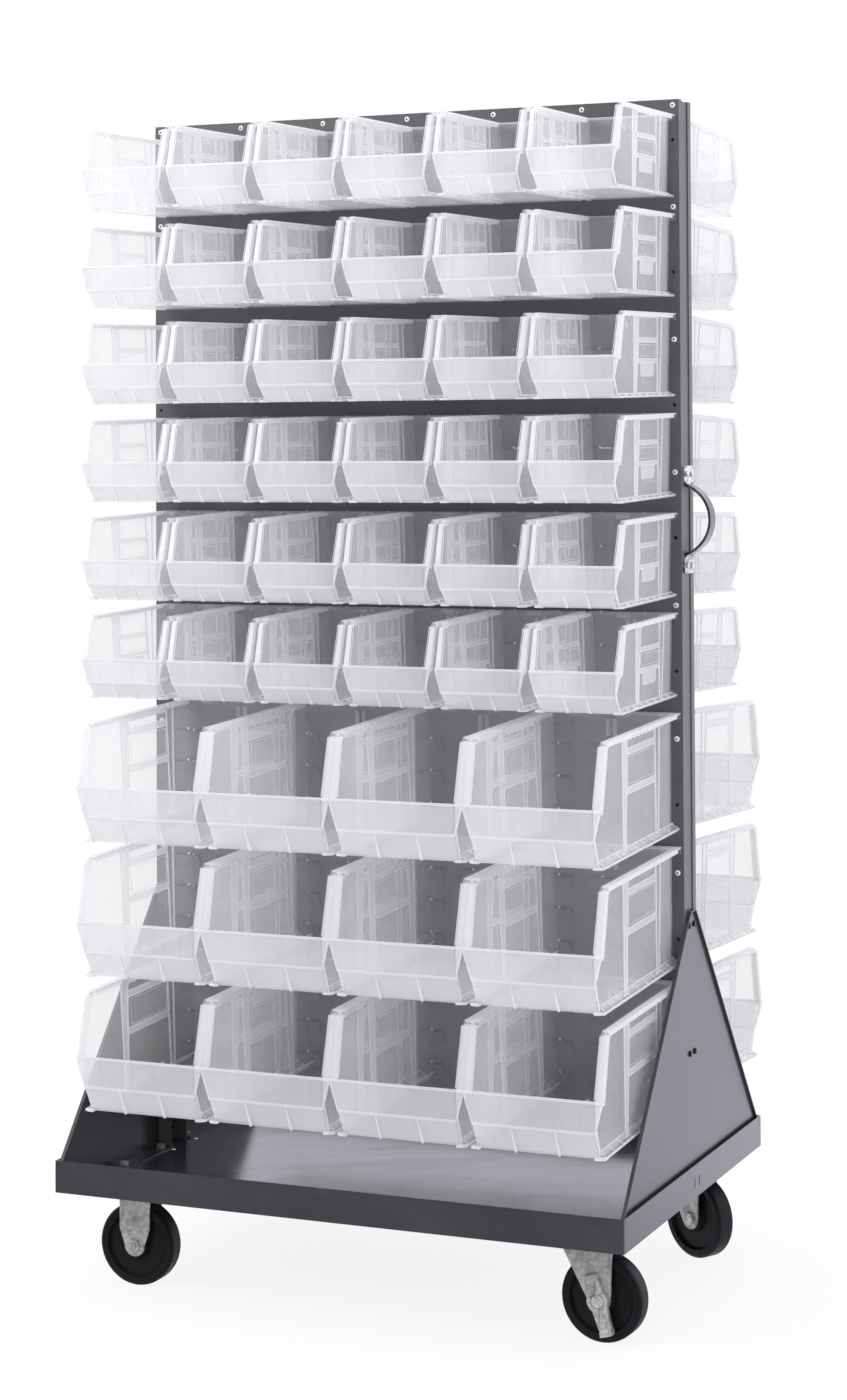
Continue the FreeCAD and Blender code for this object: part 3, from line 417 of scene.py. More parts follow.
deckLook = paint("rack_paint", rackPaint)
litPanelLook = paint("panel_paint_with_painted_light", litPanelPaint)
plateLook = paint("end_plate_paint", platePaint)
zincLook = zinc("zinc_plate", zincPlate)
castLook = zinc("cast_zinc", castZinc)
boltLook = zinc("bolt_zinc", boltZinc)
blackOxideAndShadeLook = blackened("black_oxide_and_painted_shade", blackOxide)
slitShadeLook = paint("slit_painted_shade", slitShadePaint)
rivetAndLightSpotLook = zinc("rivet_zinc_and_painted_light_spots", rivetZincAndLightSpots)
wheelLook = wheelRubber("wheel_black", wheelBlack)
print("materials made:", len(bpy.data.materials))


# Materials on the CAD nodes

def dress(names, material, edge=0.0):
    for name in names:
        piece = nodes[name]
        piece.data.materials.clear()
        piece.data.materials.append(material)
        if edge:
            weld = piece.modifiers.new("weld", "WELD")
            weld.merge_threshold = 0.00001
            soft = piece.modifiers.new("edges", "BEVEL")
            soft.width = edge
            soft.segments = 2
            soft.limit_method = "ANGLE"
            soft.angle_limit = math.radians(50)
            soft.use_clamp_overlap = True


def named(*starts):
    return [name for name in sorted(nodes) if name.startswith(starts)]


dress(named("base_tray"), deckLook)
dress(named("end_plate_right", "end_plate_left"), plateLook)
# the lighter panel paint given here carries painted light
dress(named("post_", "top_rail", "bottom_rail", "louver_panel"), litPanelLook)
dress(named("rigid_fork", "swivel_fork", "swivel_plate", "kingpin"), zincLook)
dress(named("caster_", "deck_nuts"), zincLook)
dress(named("rigid_axle", "swivel_axle", "swivel_balls", "deck_bolts", "handle_screws"), boltLook)
dress(named("panel_rivets"), rivetAndLightSpotLook)
dress(["brake_lever"], castLook, 0.0007)
dress(["handle"], handleLook("handle_chrome", handleChrome))
dress(named("end_plate_screws"), blackOxideAndShadeLook)
dress(named("rigid_wheel", "swivel_wheel"), wheelLook)
dress(named("small_bins", "big_bins"), wallLook)
print("CAD nodes dressed")


# Mesh helpers

def closedSlab(mesh, ringA, ringB, skin):
    # two matching rings of points joined into one closed solid
    a = [mesh.verts.new(p) for p in ringA]
    b = [mesh.verts.new(p) for p in ringB]
    faces = [mesh.faces.new(a[::-1]), mesh.faces.new(b)]
    count = len(a)
    for i in range(count):
        j = (i + 1) % count
        faces.append(mesh.faces.new((a[i], a[j], b[j], b[i])))
    for face in faces:
        face.material_index = skin


def blockSlab(mesh, x, y, z, skin):
    ring = [(x[0], y[0]), (x[1], y[0]), (x[1], y[1]), (x[0], y[1])]
    closedSlab(mesh, [(a, b, z[0]) for a, b in ring], [(a, b, z[1]) for a, b in ring], skin)


def roundedCorners(points, radius, steps=4):
    # the same closed outline with an arc at each corner; one radius, or one for each corner
    result = []
    count = len(points)
    for i, here in enumerate(points):
        size = radius[i] if isinstance(radius, (list, tuple)) else radius
        here = Vector(here)
        before = Vector(points[i - 1]) - here
        after = Vector(points[(i + 1) % count]) - here
        size = min(size, before.length * 0.45, after.length * 0.45)
        if size <= 0:
            result.append(tuple(here))
            continue
        start = here + before.normalized() * size
        end = here + after.normalized() * size
        for step in range(steps + 1):
            t = step / steps
            spot = start * (1 - t) ** 2 + here * 2 * t * (1 - t) + end * t * t
            result.append(tuple(spot))
    return result


def meshFrom(name, mesh, looks):
    bmesh.ops.recalc_face_normals(mesh, faces=mesh.faces)
    data = bpy.data.meshes.new(name)
    mesh.to_mesh(data)
    mesh.free()
    for look in looks:
        data.materials.append(look)
    return data


def fusedMesh(name, shells, looks):
    # one clean skin from many overlapping closed solids
    first = bpy.data.objects.new(name + "_rest", meshFrom(name + "_rest", shells[0], looks))
    other = bpy.data.objects.new(name + "_more", meshFrom(name + "_more", shells[1], looks))
    for piece in (first, other):
        bpy.context.scene.collection.objects.link(piece)
    join = first.modifiers.new("join", "BOOLEAN")
    join.operation = "UNION"
    join.solver = "EXACT"
    join.use_self = True
    join.material_mode = "TRANSFER"
    join.object = other
    bpy.context.view_layer.update()
    graph = bpy.context.evaluated_depsgraph_get()
    data = bpy.data.meshes.new_from_object(first.evaluated_get(graph))
    data.name = name
    for piece in (first, other):
        bpy.data.objects.remove(piece)
    return data


# Bins: distance u runs from the hook's back to the front, v across, z up from the floor

smallBin = {
    "length": 0.276,
    "width": 0.140,
    "height": 0.127,
    "floorWidth": 0.120,
    "topWidth": 0.128,
    "hookDepth": 0.013,
    "footSetback": 0.003,
    "footWidth": 0.136,
    "lipHeight": 0.063,
    "noseHeight": 0.025,
    "noseCut": 0.024,
    "cheekLean": 0.018,
    "tilt": 1.488,
    "pitch": 0.1486,
    "count": 6,
    "ribShares": (0.20, 0.62),
    "bars": ((0.40, 0.455), (0.64, 0.70)),
    "frontBars": (-0.36, -0.145, 0.145, 0.36),
    "gussets": (-0.145, 0.145),
    "flangeCells": 8,
    "footRise": 0.0055,
    "backBars": 0.010,
    "tab": True,
}
bigBin = {
    "length": 0.375,
    "width": 0.2096,
    "height": 0.178,
    "floorWidth": 0.184,
    "topWidth": 0.190,
    "hookDepth": 0.0165,
    "footSetback": 0.0066,
    "footWidth": 0.204,
    "lipHeight": 0.087,
    "noseHeight": 0.040,
    "noseCut": 0.025,
    "cheekLean": 0.025,
    "tilt": 2.220,
    "pitch": 0.2102,
    "count": 4,
    "ribShares": (0.20, 0.62),
    "bars": ((0.49, 0.55), (0.81, 0.87)),
    "frontBars": (-0.37, -0.26, -0.15, 0.0, 0.10, 0.21, 0.37),
    "gussets": (-0.18, 0.18),
    "flangeCells": 9,
    "footRise": 0.0100,
    "backBars": 0.024,
    "tab": False,
}
binDetail = {
    "wall": 0.0022,
    "sideRadii": (0.003, 0.002, 0.002, 0.001, 0.003, 0.004, 0.003, 0.002, 0.001),
    "noseThicker": 1.3,
    "lipRim": 0.004,
    "lipSetback": 0.0005,
    "frontLean": 0.002,
    "browStep": 0.006,
    "browDepth": 0.012,
    "rollDepth": 0.0034,
    "rollHeight": 0.0036,
    "rollProud": 0.0010,
    "rollRadius": 0.0012,
    "noseLine": (0.001, 0.0030),  # below and above the nose
    "noseLineRadius": 0.0006,
    "hookLip": 0.010,
    "skirt": 0.007,
    "cheekDepth": 0.011,
    "sink": 0.0004,  # how far a raised mark reaches into its wall
    "ribProud": 0.0018,
    "barProud": 0.0012,
    "lineProud": 0.0006,
    "ribLow": 0.014,
    "ribHigh": 0.026,
    "thinRib": 0.0035,
    "barLine": 0.0012,
    "fieldGap": 0.003,
    "fieldInset": 0.006,
    "fieldLine": 0.0008,
    "bandShare": 0.925,
    "scallopDepth": 0.0022,
    "scallops": 7,
    "upperShare": 0.955,
    "upperInset": (0.002, 0.004),  # at the back and at the front
    "tongueInset": (0.012, 0.016),
    "tongueDrop": 0.020,
    "tongueRadius": 0.007,
    "footSheet": 0.0016,
    "footEdge": 0.003,
    "footLip": 0.0018,
    "footLineRise": 0.0016,
    "cellBar": 0.0014,
    "cellSlant": (0.0060, 0.0046),
    "cellProud": 0.0012,
    "cornerFootInset": 0.004,
    "cornerFootReach": (0.006, 0.010),
    "cornerFootShare": 0.35,
    "barEnds": (0.003, 0.0034),  # above the nose and below the lip
    "edgePlace": 0.3,
    "edgeBar": (0.0034, 0.0008),  # half width and height
    "frontBar": (0.0019, 0.0006),
    "cardShare": 0.14,
    "flareTop": 0.0006,
    "flareDrop": 0.005,
    "flareFoot": 0.002,
    "flareInset": 0.0002,
    "flareRim": 0.0024,
    "flareRimDepth": 0.0012,
    "lipEnd": (0.0006, 0.0030),
    "gusset": 0.0018,
    "gussetFoot": (0.001, 0.007),
    "gussetTop": (0.003, 0.001),
    "cornerStart": (0.002, 0.003),
    "cornerRise": 0.004,
    "cornerEdge": 0.001,
    "cornerWidth": 0.009,
    "backBarPlace": 0.0058,
    "backBarHalf": 0.0030,
    "backBarProud": 0.0012,
    "backBarEnds": (0.010, 0.008),
    "backLineInset": 0.012,
    "backLineShares": (0.62, 0.90),
    "backLineProud": 0.0005,
    "backLine": 0.0012,
    "hookFields": 4,
    "hookFieldHalf": 0.012,
    "hookFieldProud": 0.0006,
    "hookFieldDrop": 0.006,
}
d = binDetail


def halfWidth(b, z):
    share = z / b["height"]
    return (b["floorWidth"] * (1 - share) + b["topWidth"] * share) / 2


def acrossSlab(mesh, b, outline, drawnIn, skin):
    # from one side wall's outer face to the other's, less a margin
    rings = []
    for side in (-1, 1):
        rings.append([(side * (halfWidth(b, z) - drawnIn), -u, z) for u, z in outline])
    closedSlab(mesh, rings[0], rings[1], skin)


def sideSlab(mesh, b, outline, inner, outer, skin):
    # on both side walls, between two distances from the wall's outer face
    for side in (-1, 1):
        rings = []
        for offset in (inner, outer):
            rings.append([(side * (halfWidth(b, z) + offset), -u, z) for u, z in outline])
        closedSlab(mesh, rings[0], rings[1], skin)


def bar(low, high, z0, z1):
    return [(low, z0), (high, z0), (high, z1), (low, z1)]


def binWalls(mesh, b):
    wall = d["wall"]
    front = b["length"]
    top = b["height"]
    back = b["hookDepth"]
    lip = b["lipHeight"]
    nose = b["noseHeight"]
    lean = d["frontLean"]
    noseStart = front - b["noseCut"]
    cheekTop = front - d["lipRim"] - b["cheekLean"]
    brow = cheekTop - d["browDepth"]
    # side walls with their stepped front corner
    side = [(back, 0), (noseStart, 0), (front - lean, nose), (front - d["lipSetback"], lip),
            (front - d["lipRim"], lip), (cheekTop, top - d["browStep"]),
            (brow + d["browStep"], top - d["browStep"]), (brow, top), (back, top)]
    sideSlab(mesh, b, roundedCorners(side, d["sideRadii"], 3), -wall, 0.0, wallSkin)
    # floor, back wall, nose and front wall
    acrossSlab(mesh, b, bar(back, noseStart, 0, wall), 0.0, wallSkin)
    acrossSlab(mesh, b, bar(back, back + wall, 0, top), 0.0, backSkin)
    slope = [(noseStart, 0), (front - lean, nose), (front - lean - wall * d["noseThicker"], nose),
             (noseStart - wall, wall)]
    acrossSlab(mesh, b, slope, 0.0, frontSkin)
    face = [(front - lean, nose), (front, lip), (front - wall, lip),
            (front - lean - wall, nose - wall)]
    acrossSlab(mesh, b, face, 0.0, frontSkin)
    return brow, cheekTop


def binRims(mesh, b, brow, cheekTop):
    wall = d["wall"]
    front = b["length"]
    top = b["height"]
    half = b["width"] / 2
    lip = b["lipHeight"]
    # rolled edge of the front lip and the line along the foot of the front wall
    roll = bar(front - d["rollDepth"], front + d["rollProud"], lip - d["rollHeight"], lip)
    acrossSlab(mesh, b, roundedCorners(roll, d["rollRadius"], 3), 0.0, rimSkin)
    nose = b["noseHeight"]
    below, above = d["noseLine"]
    line = bar(front - d["frontLean"] - wall, front - d["frontLean"] + d["rollProud"],
               nose - below, nose + above)
    acrossSlab(mesh, b, roundedCorners(line, d["noseLineRadius"], 2), 0.0, rimSkin)
    # ledge and skirt along the top, and the hook across the back
    inner = b["topWidth"] / 2 - wall
    blockSlab(mesh, (-half, half), (-b["hookDepth"] - wall, 0), (top - wall, top), rimSkin)
    blockSlab(mesh, (-half, half), (-wall, 0), (top - d["hookLip"], top), wallSkin)
    for side in (-1, 1):
        xs = sorted((side * inner, side * half))
        blockSlab(mesh, xs, (-brow, 0), (top - wall, top), rimSkin)
        xs = sorted((side * (half - wall), side * half))
        blockSlab(mesh, xs, (-brow, -b["hookDepth"]), (top - d["skirt"], top), rimSkin)
    # flange down the front edge of each side, an angle with a face and a return
    high = top - d["browStep"]
    lean = (front - d["lipRim"] - cheekTop) / (high - lip)
    low = lip - d["skirt"]
    start = front - d["lipRim"] + lean * d["skirt"]
    face = [(start, low), (cheekTop, high), (cheekTop - wall, high), (start - wall, low)]
    skirt = [(start, low), (cheekTop, high), (cheekTop - d["cheekDepth"], high),
             (start - d["cheekDepth"], low)]
    stepTop = [(cheekTop, high), (cheekTop - d["browDepth"], high),
               (cheekTop - d["browDepth"], high - wall), (cheekTop, high - wall)]
    for side in (-1, 1):
        for outline, near in ((face, None), (skirt, half - wall), (stepTop, None)):
            rings = [[], []]
            for u, z in outline:
                wallFace = halfWidth(b, z) - wall
                rings[0].append((side * (wallFace if near is None else near), -u, z))
                rings[1].append((side * half, -u, z))
            closedSlab(mesh, rings[0], rings[1], rimSkin)


def scallopBand(b, low, high, edge):
    # a band with a straight top and a row of shallow scallops along its lower edge
    steps = d["scallops"] * 4
    points = []
    for i in range(steps + 1):
        u = low + (high - low) * i / steps
        wave = abs(math.sin(math.pi * d["scallops"] * i / steps))
        points.append((u, edge + d["scallopDepth"] * wave))
    return points + [(high, b["height"] - d["wall"]), (low, b["height"] - d["wall"])]


def binSideDetail(mesh, b, brow):
    top = b["height"] - d["wall"]
    run = b["length"] - b["hookDepth"]
    near, far = [b["hookDepth"] + share * run for share in b["ribShares"]]
    halfLow = d["ribLow"] / 2
    halfHigh = d["ribHigh"] / 2
    foot = d["footSheet"]

    def ribEdge(middle, way, z):
        share = z / b["height"]
        return middle + way * (halfLow * (1 - share) + halfHigh * share)

    def raised(outline, proud, skin):
        sideSlab(mesh, b, outline, -d["sink"], proud, skin)

    # broad front rib, with a raised line down both of its edges
    raised([(ribEdge(far, -1, foot), foot), (ribEdge(far, 1, foot), foot),
            (ribEdge(far, 1, top), top), (ribEdge(far, -1, top), top)], d["barProud"], frontSkin)
    for middle, way in ((far, -1), (far, 1), (near, -1), (near, 1)):
        line = []
        for z in (foot, top):
            line.append((ribEdge(middle, way, z), z))
        for z in (top, foot):
            line.append((ribEdge(middle, way, z) - way * d["thinRib"], z))
        raised(line, d["ribProud"], rimSkin)
    # cross bars between the ribs, with a line along both edges
    thin = d["barLine"]
    for low, high in b["bars"]:
        z0 = low * b["height"]
        z1 = high * b["height"]
        raised([(ribEdge(near, 1, z0), z0), (ribEdge(far, -1, z0), z0),
                (ribEdge(far, -1, z1), z1), (ribEdge(near, 1, z1), z1)], d["barProud"], frontSkin)
        for z in (z0, z1 - thin):
            line = bar(ribEdge(near, 1, z), ribEdge(far, -1, z), z, z + thin)
            raised(line, d["ribProud"], rimSkin)
    # bare field between the bars, framed by a fine line
    fine = d["fieldLine"]
    z0 = b["bars"][0][1] * b["height"] + d["fieldGap"]
    z1 = b["bars"][1][0] * b["height"] - d["fieldGap"]
    left = ribEdge(near, 1, z0) + d["fieldInset"]
    right = ribEdge(far, -1, z1) - d["fieldInset"]
    for outline in (bar(left, right, z0, z0 + fine), bar(left, right, z1 - fine, z1),
                    bar(left, left + fine, z0, z1), bar(right - fine, right, z0, z1)):
        raised(outline, d["lineProud"], frontSkin)
    # scalloped thickening under the ledge
    edge = d["bandShare"] * b["height"]
    band = scallopBand(b, ribEdge(near, 1, edge), ribEdge(far, -1, edge), edge)
    raised(band, d["lineProud"], rimSkin)
    atBack, atFront = d["upperInset"]
    upper = bar(b["hookDepth"] + atBack, brow - atFront, d["upperShare"] * b["height"], top)
    raised(upper, d["lineProud"], frontSkin)
    if b["tab"]:
        # small rounded tongue below the lower bar
        z1 = b["bars"][0][0] * b["height"]
        atBack, atFront = d["tongueInset"]
        outline = bar(ribEdge(near, 1, z1) + atBack, ribEdge(far, -1, z1) - atFront,
                      z1 - d["tongueDrop"], z1)
        raised(roundedCorners(outline, [d["tongueRadius"], d["tongueRadius"], 0.0, 0.0], 4),
               d["lineProud"], frontSkin)


def binFoot(mesh, b):
    # skirt along the floor that slopes out to a bright lip, with slanting bars between clear cells
    inner = b["floorWidth"] / 2 - d["wall"] / 2
    outer = b["footWidth"] / 2
    rise = b["footRise"]
    sheet = d["footSheet"]
    thin = d["cellBar"]
    start = b["footSetback"]
    end = b["length"] - b["noseCut"]
    count = b["flangeCells"]
    step = (end - start) / count

    def strip(side, corners, skin):
        rings = [[(side * x, -u, z) for x, z in corners] for u in (start, end)]
        closedSlab(mesh, rings[0], rings[1], skin)

    slope = [(inner, rise), (outer, sheet), (outer, 0), (inner, rise - sheet)]
    lip = bar(outer - d["footLip"], outer, 0, d["footEdge"])
    line = bar(inner, inner + thin, rise - sheet, rise + d["footLineRise"])
    longSlant, shortSlant = d["cellSlant"]
    inset = inner - d["cornerFootInset"]
    shortReach, longReach = d["cornerFootReach"]
    for side in (-1, 1):
        strip(side, slope, wallSkin)
        strip(side, lip, rimSkin)
        strip(side, line, rimSkin)
        for i in range(count + 1):
            u = min(start + i * step, end - thin)
            spots = [(inner, u + longSlant, rise), (inner, u + shortSlant, rise), (outer, u, sheet),
                     (outer, u + thin, sheet)]
            closedSlab(mesh, [(side * x, -min(v, end), z - sheet) for x, v, z in spots],
                       [(side * x, -min(v, end), z + d["cellProud"]) for x, v, z in spots], rimSkin)
        # corner foot that runs out under the nose
        slanted = inner + (outer - inner) * d["cornerFootShare"]
        ring = [(side * inset, -end), (side * outer, -end), (side * outer, -end - shortReach),
                (side * slanted, -end - longReach), (side * inset, -end - longReach)]
        rings = [[(x, y, z) for x, y in ring] for z in (0, d["footEdge"])]
        closedSlab(mesh, rings[0], rings[1], rimSkin)


def binFrontDetail(mesh, b):
    front = b["length"]
    lean = d["frontLean"]
    lip = b["lipHeight"]
    foot = b["noseHeight"]
    sink = d["sink"]
    low = foot + d["barEnds"][0]
    high = lip - d["barEnds"][1]
    full = lip - foot

    def faceAt(z):
        return front - lean + lean * (z - foot) / full

    def upright(middle, half, proud):
        rings = []
        for z in (low, high):
            face = -faceAt(z)
            rings.append([(middle - half, face - proud, z), (middle + half, face - proud, z),
                          (middle + half, face + sink, z), (middle - half, face + sink, z)])
        closedSlab(mesh, rings[0], rings[1], frontSkin)

    for place in b["frontBars"]:
        half, proud = d["edgeBar"] if abs(place) > d["edgePlace"] else d["frontBar"]
        upright(place * b["floorWidth"], half, proud)
    # card field in the middle
    upright(0.0, d["cardShare"] * b["floorWidth"], sink)
    # the front wall flares out to the flanges at the lip, and tapers back to the sides at the nose
    half = b["width"] / 2
    wide = halfWidth(b, lip) - d["wall"]
    top = lip - d["flareTop"]
    drop = lip - d["flareDrop"]
    inset = d["flareInset"]
    for side in (-1, 1):
        flare = [(wide, top), (half, top), (half, drop), (wide, foot + d["flareFoot"])]
        edge = [(half, drop), (wide + d["wall"], foot), (wide + inset, foot),
                (half - d["flareRim"], drop)]
        for outline, depths, skin in ((flare, (inset, d["wall"]), frontSkin),
                                      (edge, (-sink, d["wall"] + d["flareRimDepth"]), rimSkin)):
            rings = [[(side * x, -faceAt(z) + depth, z) for x, z in outline] for depth in depths]
            closedSlab(mesh, rings[0], rings[1], skin)
        xs = sorted((side * wide, side * half))
        ahead, behind = d["lipEnd"]
        blockSlab(mesh, xs, (-front - ahead, -front + behind), (lip - d["rollHeight"], lip),
                  rimSkin)
    # gussets under the nose
    start = front - b["noseCut"]
    nose = front - lean
    behind, ahead = d["gussetFoot"]
    setback, drop = d["gussetTop"]
    outline = [(start - behind, 0.0), (start + ahead, 0.0), (nose, foot - drop),
               (nose - setback, foot)]
    for place in b["gussets"]:
        middle = place * b["floorWidth"]
        rings = [[(middle + side * d["gusset"] / 2, -u, z) for u, z in outline] for side in (-1, 1)]
        closedSlab(mesh, rings[0], rings[1], rimSkin)
    # band down each front corner of the sides
    rise = d["cornerRise"]
    thin = d["cornerEdge"]
    broad = d["cornerWidth"]
    behind, ahead = d["cornerStart"]
    corner = [(start - behind, rise), (start + ahead, rise), (nose - thin, foot + thin),
              (front - thin, high), (front - broad, high), (nose - broad, foot + rise)]
    sideSlab(mesh, b, corner, -sink, d["lineProud"], rimSkin)


def binBackDetail(mesh, b):
    # two short bars and two fine lines on the inside of the back wall
    top = b["height"] - d["wall"]
    inside = b["hookDepth"] + d["wall"]
    drop = b["backBars"]
    sink = d["sink"]
    half = d["backBarHalf"]
    low, high = d["backBarEnds"]
    for v in (-d["backBarPlace"], d["backBarPlace"]):
        blockSlab(mesh, (v - half, v + half), (-inside - d["backBarProud"], -inside + sink),
                  (top - drop - low, top - high), frontSkin)
    half = b["topWidth"] / 2 - d["backLineInset"]
    for share in d["backLineShares"]:
        z = share * b["height"]
        blockSlab(mesh, (-half, half), (-inside - d["backLineProud"], -inside + sink),
                  (z, z + d["backLine"]), wallSkin)
    # thickened fields of the hook where it rests on the louvers
    fields = d["hookFields"]
    half = d["hookFieldHalf"]
    for i in range(fields):
        v = (i - (fields - 1) / 2) * (b["topWidth"] / fields)
        blockSlab(mesh, (v - half, v + half), (-d["wall"] - d["hookFieldProud"], -sink),
                  (top - d["hookFieldDrop"], top), frontSkin)


def binShells(b):
    rest = bmesh.new()
    brow, cheekTop = binWalls(rest, b)
    binRims(rest, b, brow, cheekTop)
    binFoot(rest, b)
    more = bmesh.new()
    binSideDetail(more, b, brow)
    binFrontDetail(more, b)
    binBackDetail(more, b)
    return [rest, more]


def rowMesh(name, b):
    # one bin tilted as it hangs, then repeated along its row
    single = fusedMesh(name + "_bin", binShells(b), binLooks)
    pivot = Vector((0, 0, b["height"]))
    turn = Matrix.Rotation(math.radians(b["tilt"]), 4, "X")
    single.transform(Matrix.Translation(pivot) @ turn @ Matrix.Translation(-pivot))
    row = bmesh.new()
    middle = (b["count"] - 1) / 2
    for i in range(b["count"]):
        before = len(row.verts)
        row.from_mesh(single)
        row.verts.ensure_lookup_table()
        bmesh.ops.translate(row, verts=row.verts[before:], vec=((i - middle) * b["pitch"], 0, 0))
    data = bpy.data.meshes.new(name)
    row.to_mesh(data)
    row.free()
    for look in binLooks:
        data.materials.append(look)
    print(name, "bin has", len(single.polygons), "faces")
    return data


def meshBox(data):
    spots = [v.co for v in data.vertices]
    low = Vector([min(p[i] for p in spots) for i in range(3)])
    high = Vector([max(p[i] for p in spots) for i in range(3)])
    return low, high


def hangRows():
    meshes = {"small": rowMesh("small_bins_row", smallBin), "big": rowMesh("big_bins_row", bigBin)}
    for node in named("small_bins", "big_bins"):
        size, _, face, number = node.split("_")
        data = meshes[size]
        low, high = meshBox(data)
        piece = bpy.data.objects.new("hung_" + node, data)
        bpy.context.scene.collection.objects.link(piece)
        cadA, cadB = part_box(node)
        middleX = (cadA.x + cadB.x) / 2
        lift = cadB.z - high.z
        if face == "front":
            piece.location = (middleX, cadB.y - high.y, lift)
        else:
            piece.rotation_euler = (0, 0, math.pi)
            piece.location = (middleX, cadA.y + high.y, lift)
        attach(piece, node)
        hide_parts(node)


hangRows()
print("bins hung")


# Small marks on the louver panels

panelMarks = {
    "columnPitch": 0.0716,
    "columns": 12,
    "rowPitch": 0.0508,
    "rows": 30,
    "firstDrop": 0.0252,
    # painted light: near-white beads at the middle of each slit stand in for the bright spot of
    # light seen there
    "spotLift": 0.0002,
    "spotProud": 0.0003,
    "spotSize": (0.0021, 0.0005, 0.0021),
    "flapReach": 0.0087,
    "flapTop": 0.0410,
    "flapBase": 0.0500,
    "flapLength": 0.0215,
    "slitLine": 0.0011,
    "slitProud": 0.00015,
    "rivetInset": 0.0099,
    "rivetEndDrop": 0.0090,
    "rivetFirstDrop": 0.1653,
    "rivetPitch": 0.2032,
    "rivetsBetween": 7,
    "edgeRivets": 5,
    "rivetHead": 0.0018,
    "hollowShadeSize": (0.0016, 0.0003, 0.0016),
}


def beads(name, spots, size, material, body):
    # many small flattened beads in one mesh
    mesh = bmesh.new()
    shrink = Matrix.Diagonal((size[0], size[1], size[2], 1.0))
    for spot in spots:
        bmesh.ops.create_uvsphere(mesh, u_segments=10, v_segments=6, radius=1.0,
                                  matrix=Matrix.Translation(spot) @ shrink)
    piece = bpy.data.objects.new(name, meshFrom(name, mesh, [material]))
    for face in piece.data.polygons:
        face.use_smooth = True
    bpy.context.scene.collection.objects.link(piece)
    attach(piece, body)


def slitShadeStrips(name, spots, look):
    # painted shade: thin dark strips laid on the panel where the shadow gap falls along the top and
    # down both sides of each flap
    mesh = bmesh.new()
    top = look["flapTop"] / 2
    base = look["flapBase"] / 2
    drop = -look["flapLength"]
    line = look["slitLine"]
    outlines = [[(-top - line, 0), (top + line, 0), (top + line, line), (-top - line, line)]]
    for way in (-1, 1):
        outlines.append([(way * top, 0), (way * (top + line), 0),
                         (way * (base + line), drop), (way * base, drop)])
    for spot in spots:
        for outline in outlines:
            rings = []
            for depth in (-look["slitProud"], look["slitProud"]):
                rings.append([(spot[0] + x, spot[1] + depth, spot[2] + z) for x, z in outline])
            closedSlab(mesh, rings[0], rings[1], 0)
    piece = bpy.data.objects.new(name, meshFrom(name, mesh, [slitShadeLook]))
    bpy.context.scene.collection.objects.link(piece)
    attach(piece, "rack")


def markPanels(look):
    for side, node in ((-1, "louver_panel_front"), (1, "louver_panel_back")):
        low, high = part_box(node)
        middle = (low.x + high.x) / 2
        face = low.y + look["flapReach"] if side < 0 else high.y - look["flapReach"]
        lightSpots = []
        slits = []
        for row in range(look["rows"]):
            z = high.z - look["firstDrop"] - row * look["rowPitch"] + look["spotLift"]
            for column in range(look["columns"]):
                x = middle + (column - (look["columns"] - 1) / 2) * look["columnPitch"]
                lightSpots.append((x, face + side * look["spotProud"], z))
                slits.append((x, face, z - look["spotLift"]))
        # painted light: a near-white bead at each slit's middle
        beads("light_spots_" + node, lightSpots, look["spotSize"], rivetAndLightSpotLook, "rack")
        slitShadeStrips("slit_shade_strips_" + node, slits, look)
        edge = (high.x - low.x) / 2 - look["rivetInset"]
        heights = [high.z - look["rivetEndDrop"], low.z + look["rivetEndDrop"]]
        rows = [(-edge, z) for z in heights] + [(edge, z) for z in heights]
        for i in range(look["rivetsBetween"]):
            z = high.z - look["rivetFirstDrop"] - i * look["rivetPitch"]
            rows += [(-edge, z), (edge, z)]
        spacing = 2 * edge / (look["edgeRivets"] + 1)
        for i in range(look["edgeRivets"]):
            rows += [((i - (look["edgeRivets"] - 1) / 2) * spacing, z) for z in heights]
        # painted shade: a flat black bead on each rivet head stands in for the shade in its hollow
        # centre
        hollowShades = [(middle + x, face + side * look["rivetHead"], z) for x, z in rows]
        beads("rivet_hollow_shade_" + node, hollowShades, look["hollowShadeSize"], blackOxideAndShadeLook, "rack")


markPanels(panelMarks)
print("panels marked")


# Camera, at the photograph's place and angle

cameraView = {
    "place": (1.7685, -4.2010, 1.2920),
    "yaw": 22.856,
    "pitch": 1.617,
    "roll": -0.262,
    "focal": 2855.17,
    "axisRow": 371.3,
    "height": 1400.0,
    "sensor": 36.0,
}


def makeCamera(look):
    lens = bpy.data.cameras.new("camera")
    camera = bpy.data.objects.new("camera", lens)
    bpy.context.scene.collection.objects.link(camera)
    yaw = math.radians(look["yaw"])
    pitch = math.radians(look["pitch"])
    roll = math.radians(look["roll"])
    ahead = Vector((-math.sin(yaw) * math.cos(pitch), math.cos(yaw) * math.cos(pitch),
                    math.sin(pitch)))
    level = Vector((math.cos(yaw), math.sin(yaw), 0))
    upright = level.cross(ahead)
    right = level * math.cos(roll) + upright * math.sin(roll)
    up = upright * math.cos(roll) - level * math.sin(roll)
    turn = Matrix((right, up, -ahead)).transposed().to_4x4()
    camera.matrix_world = Matrix.Translation(look["place"]) @ turn
    lens.sensor_width = look["sensor"]
    lens.lens = look["focal"] / look["height"] * look["sensor"]
    lens.shift_y = (look["axisRow"] - look["height"] / 2) / look["height"]
    lens.clip_start = 0.05
    lens.clip_end = 60
    bpy.context.scene.camera = camera


makeCamera(cameraView)


# Studio

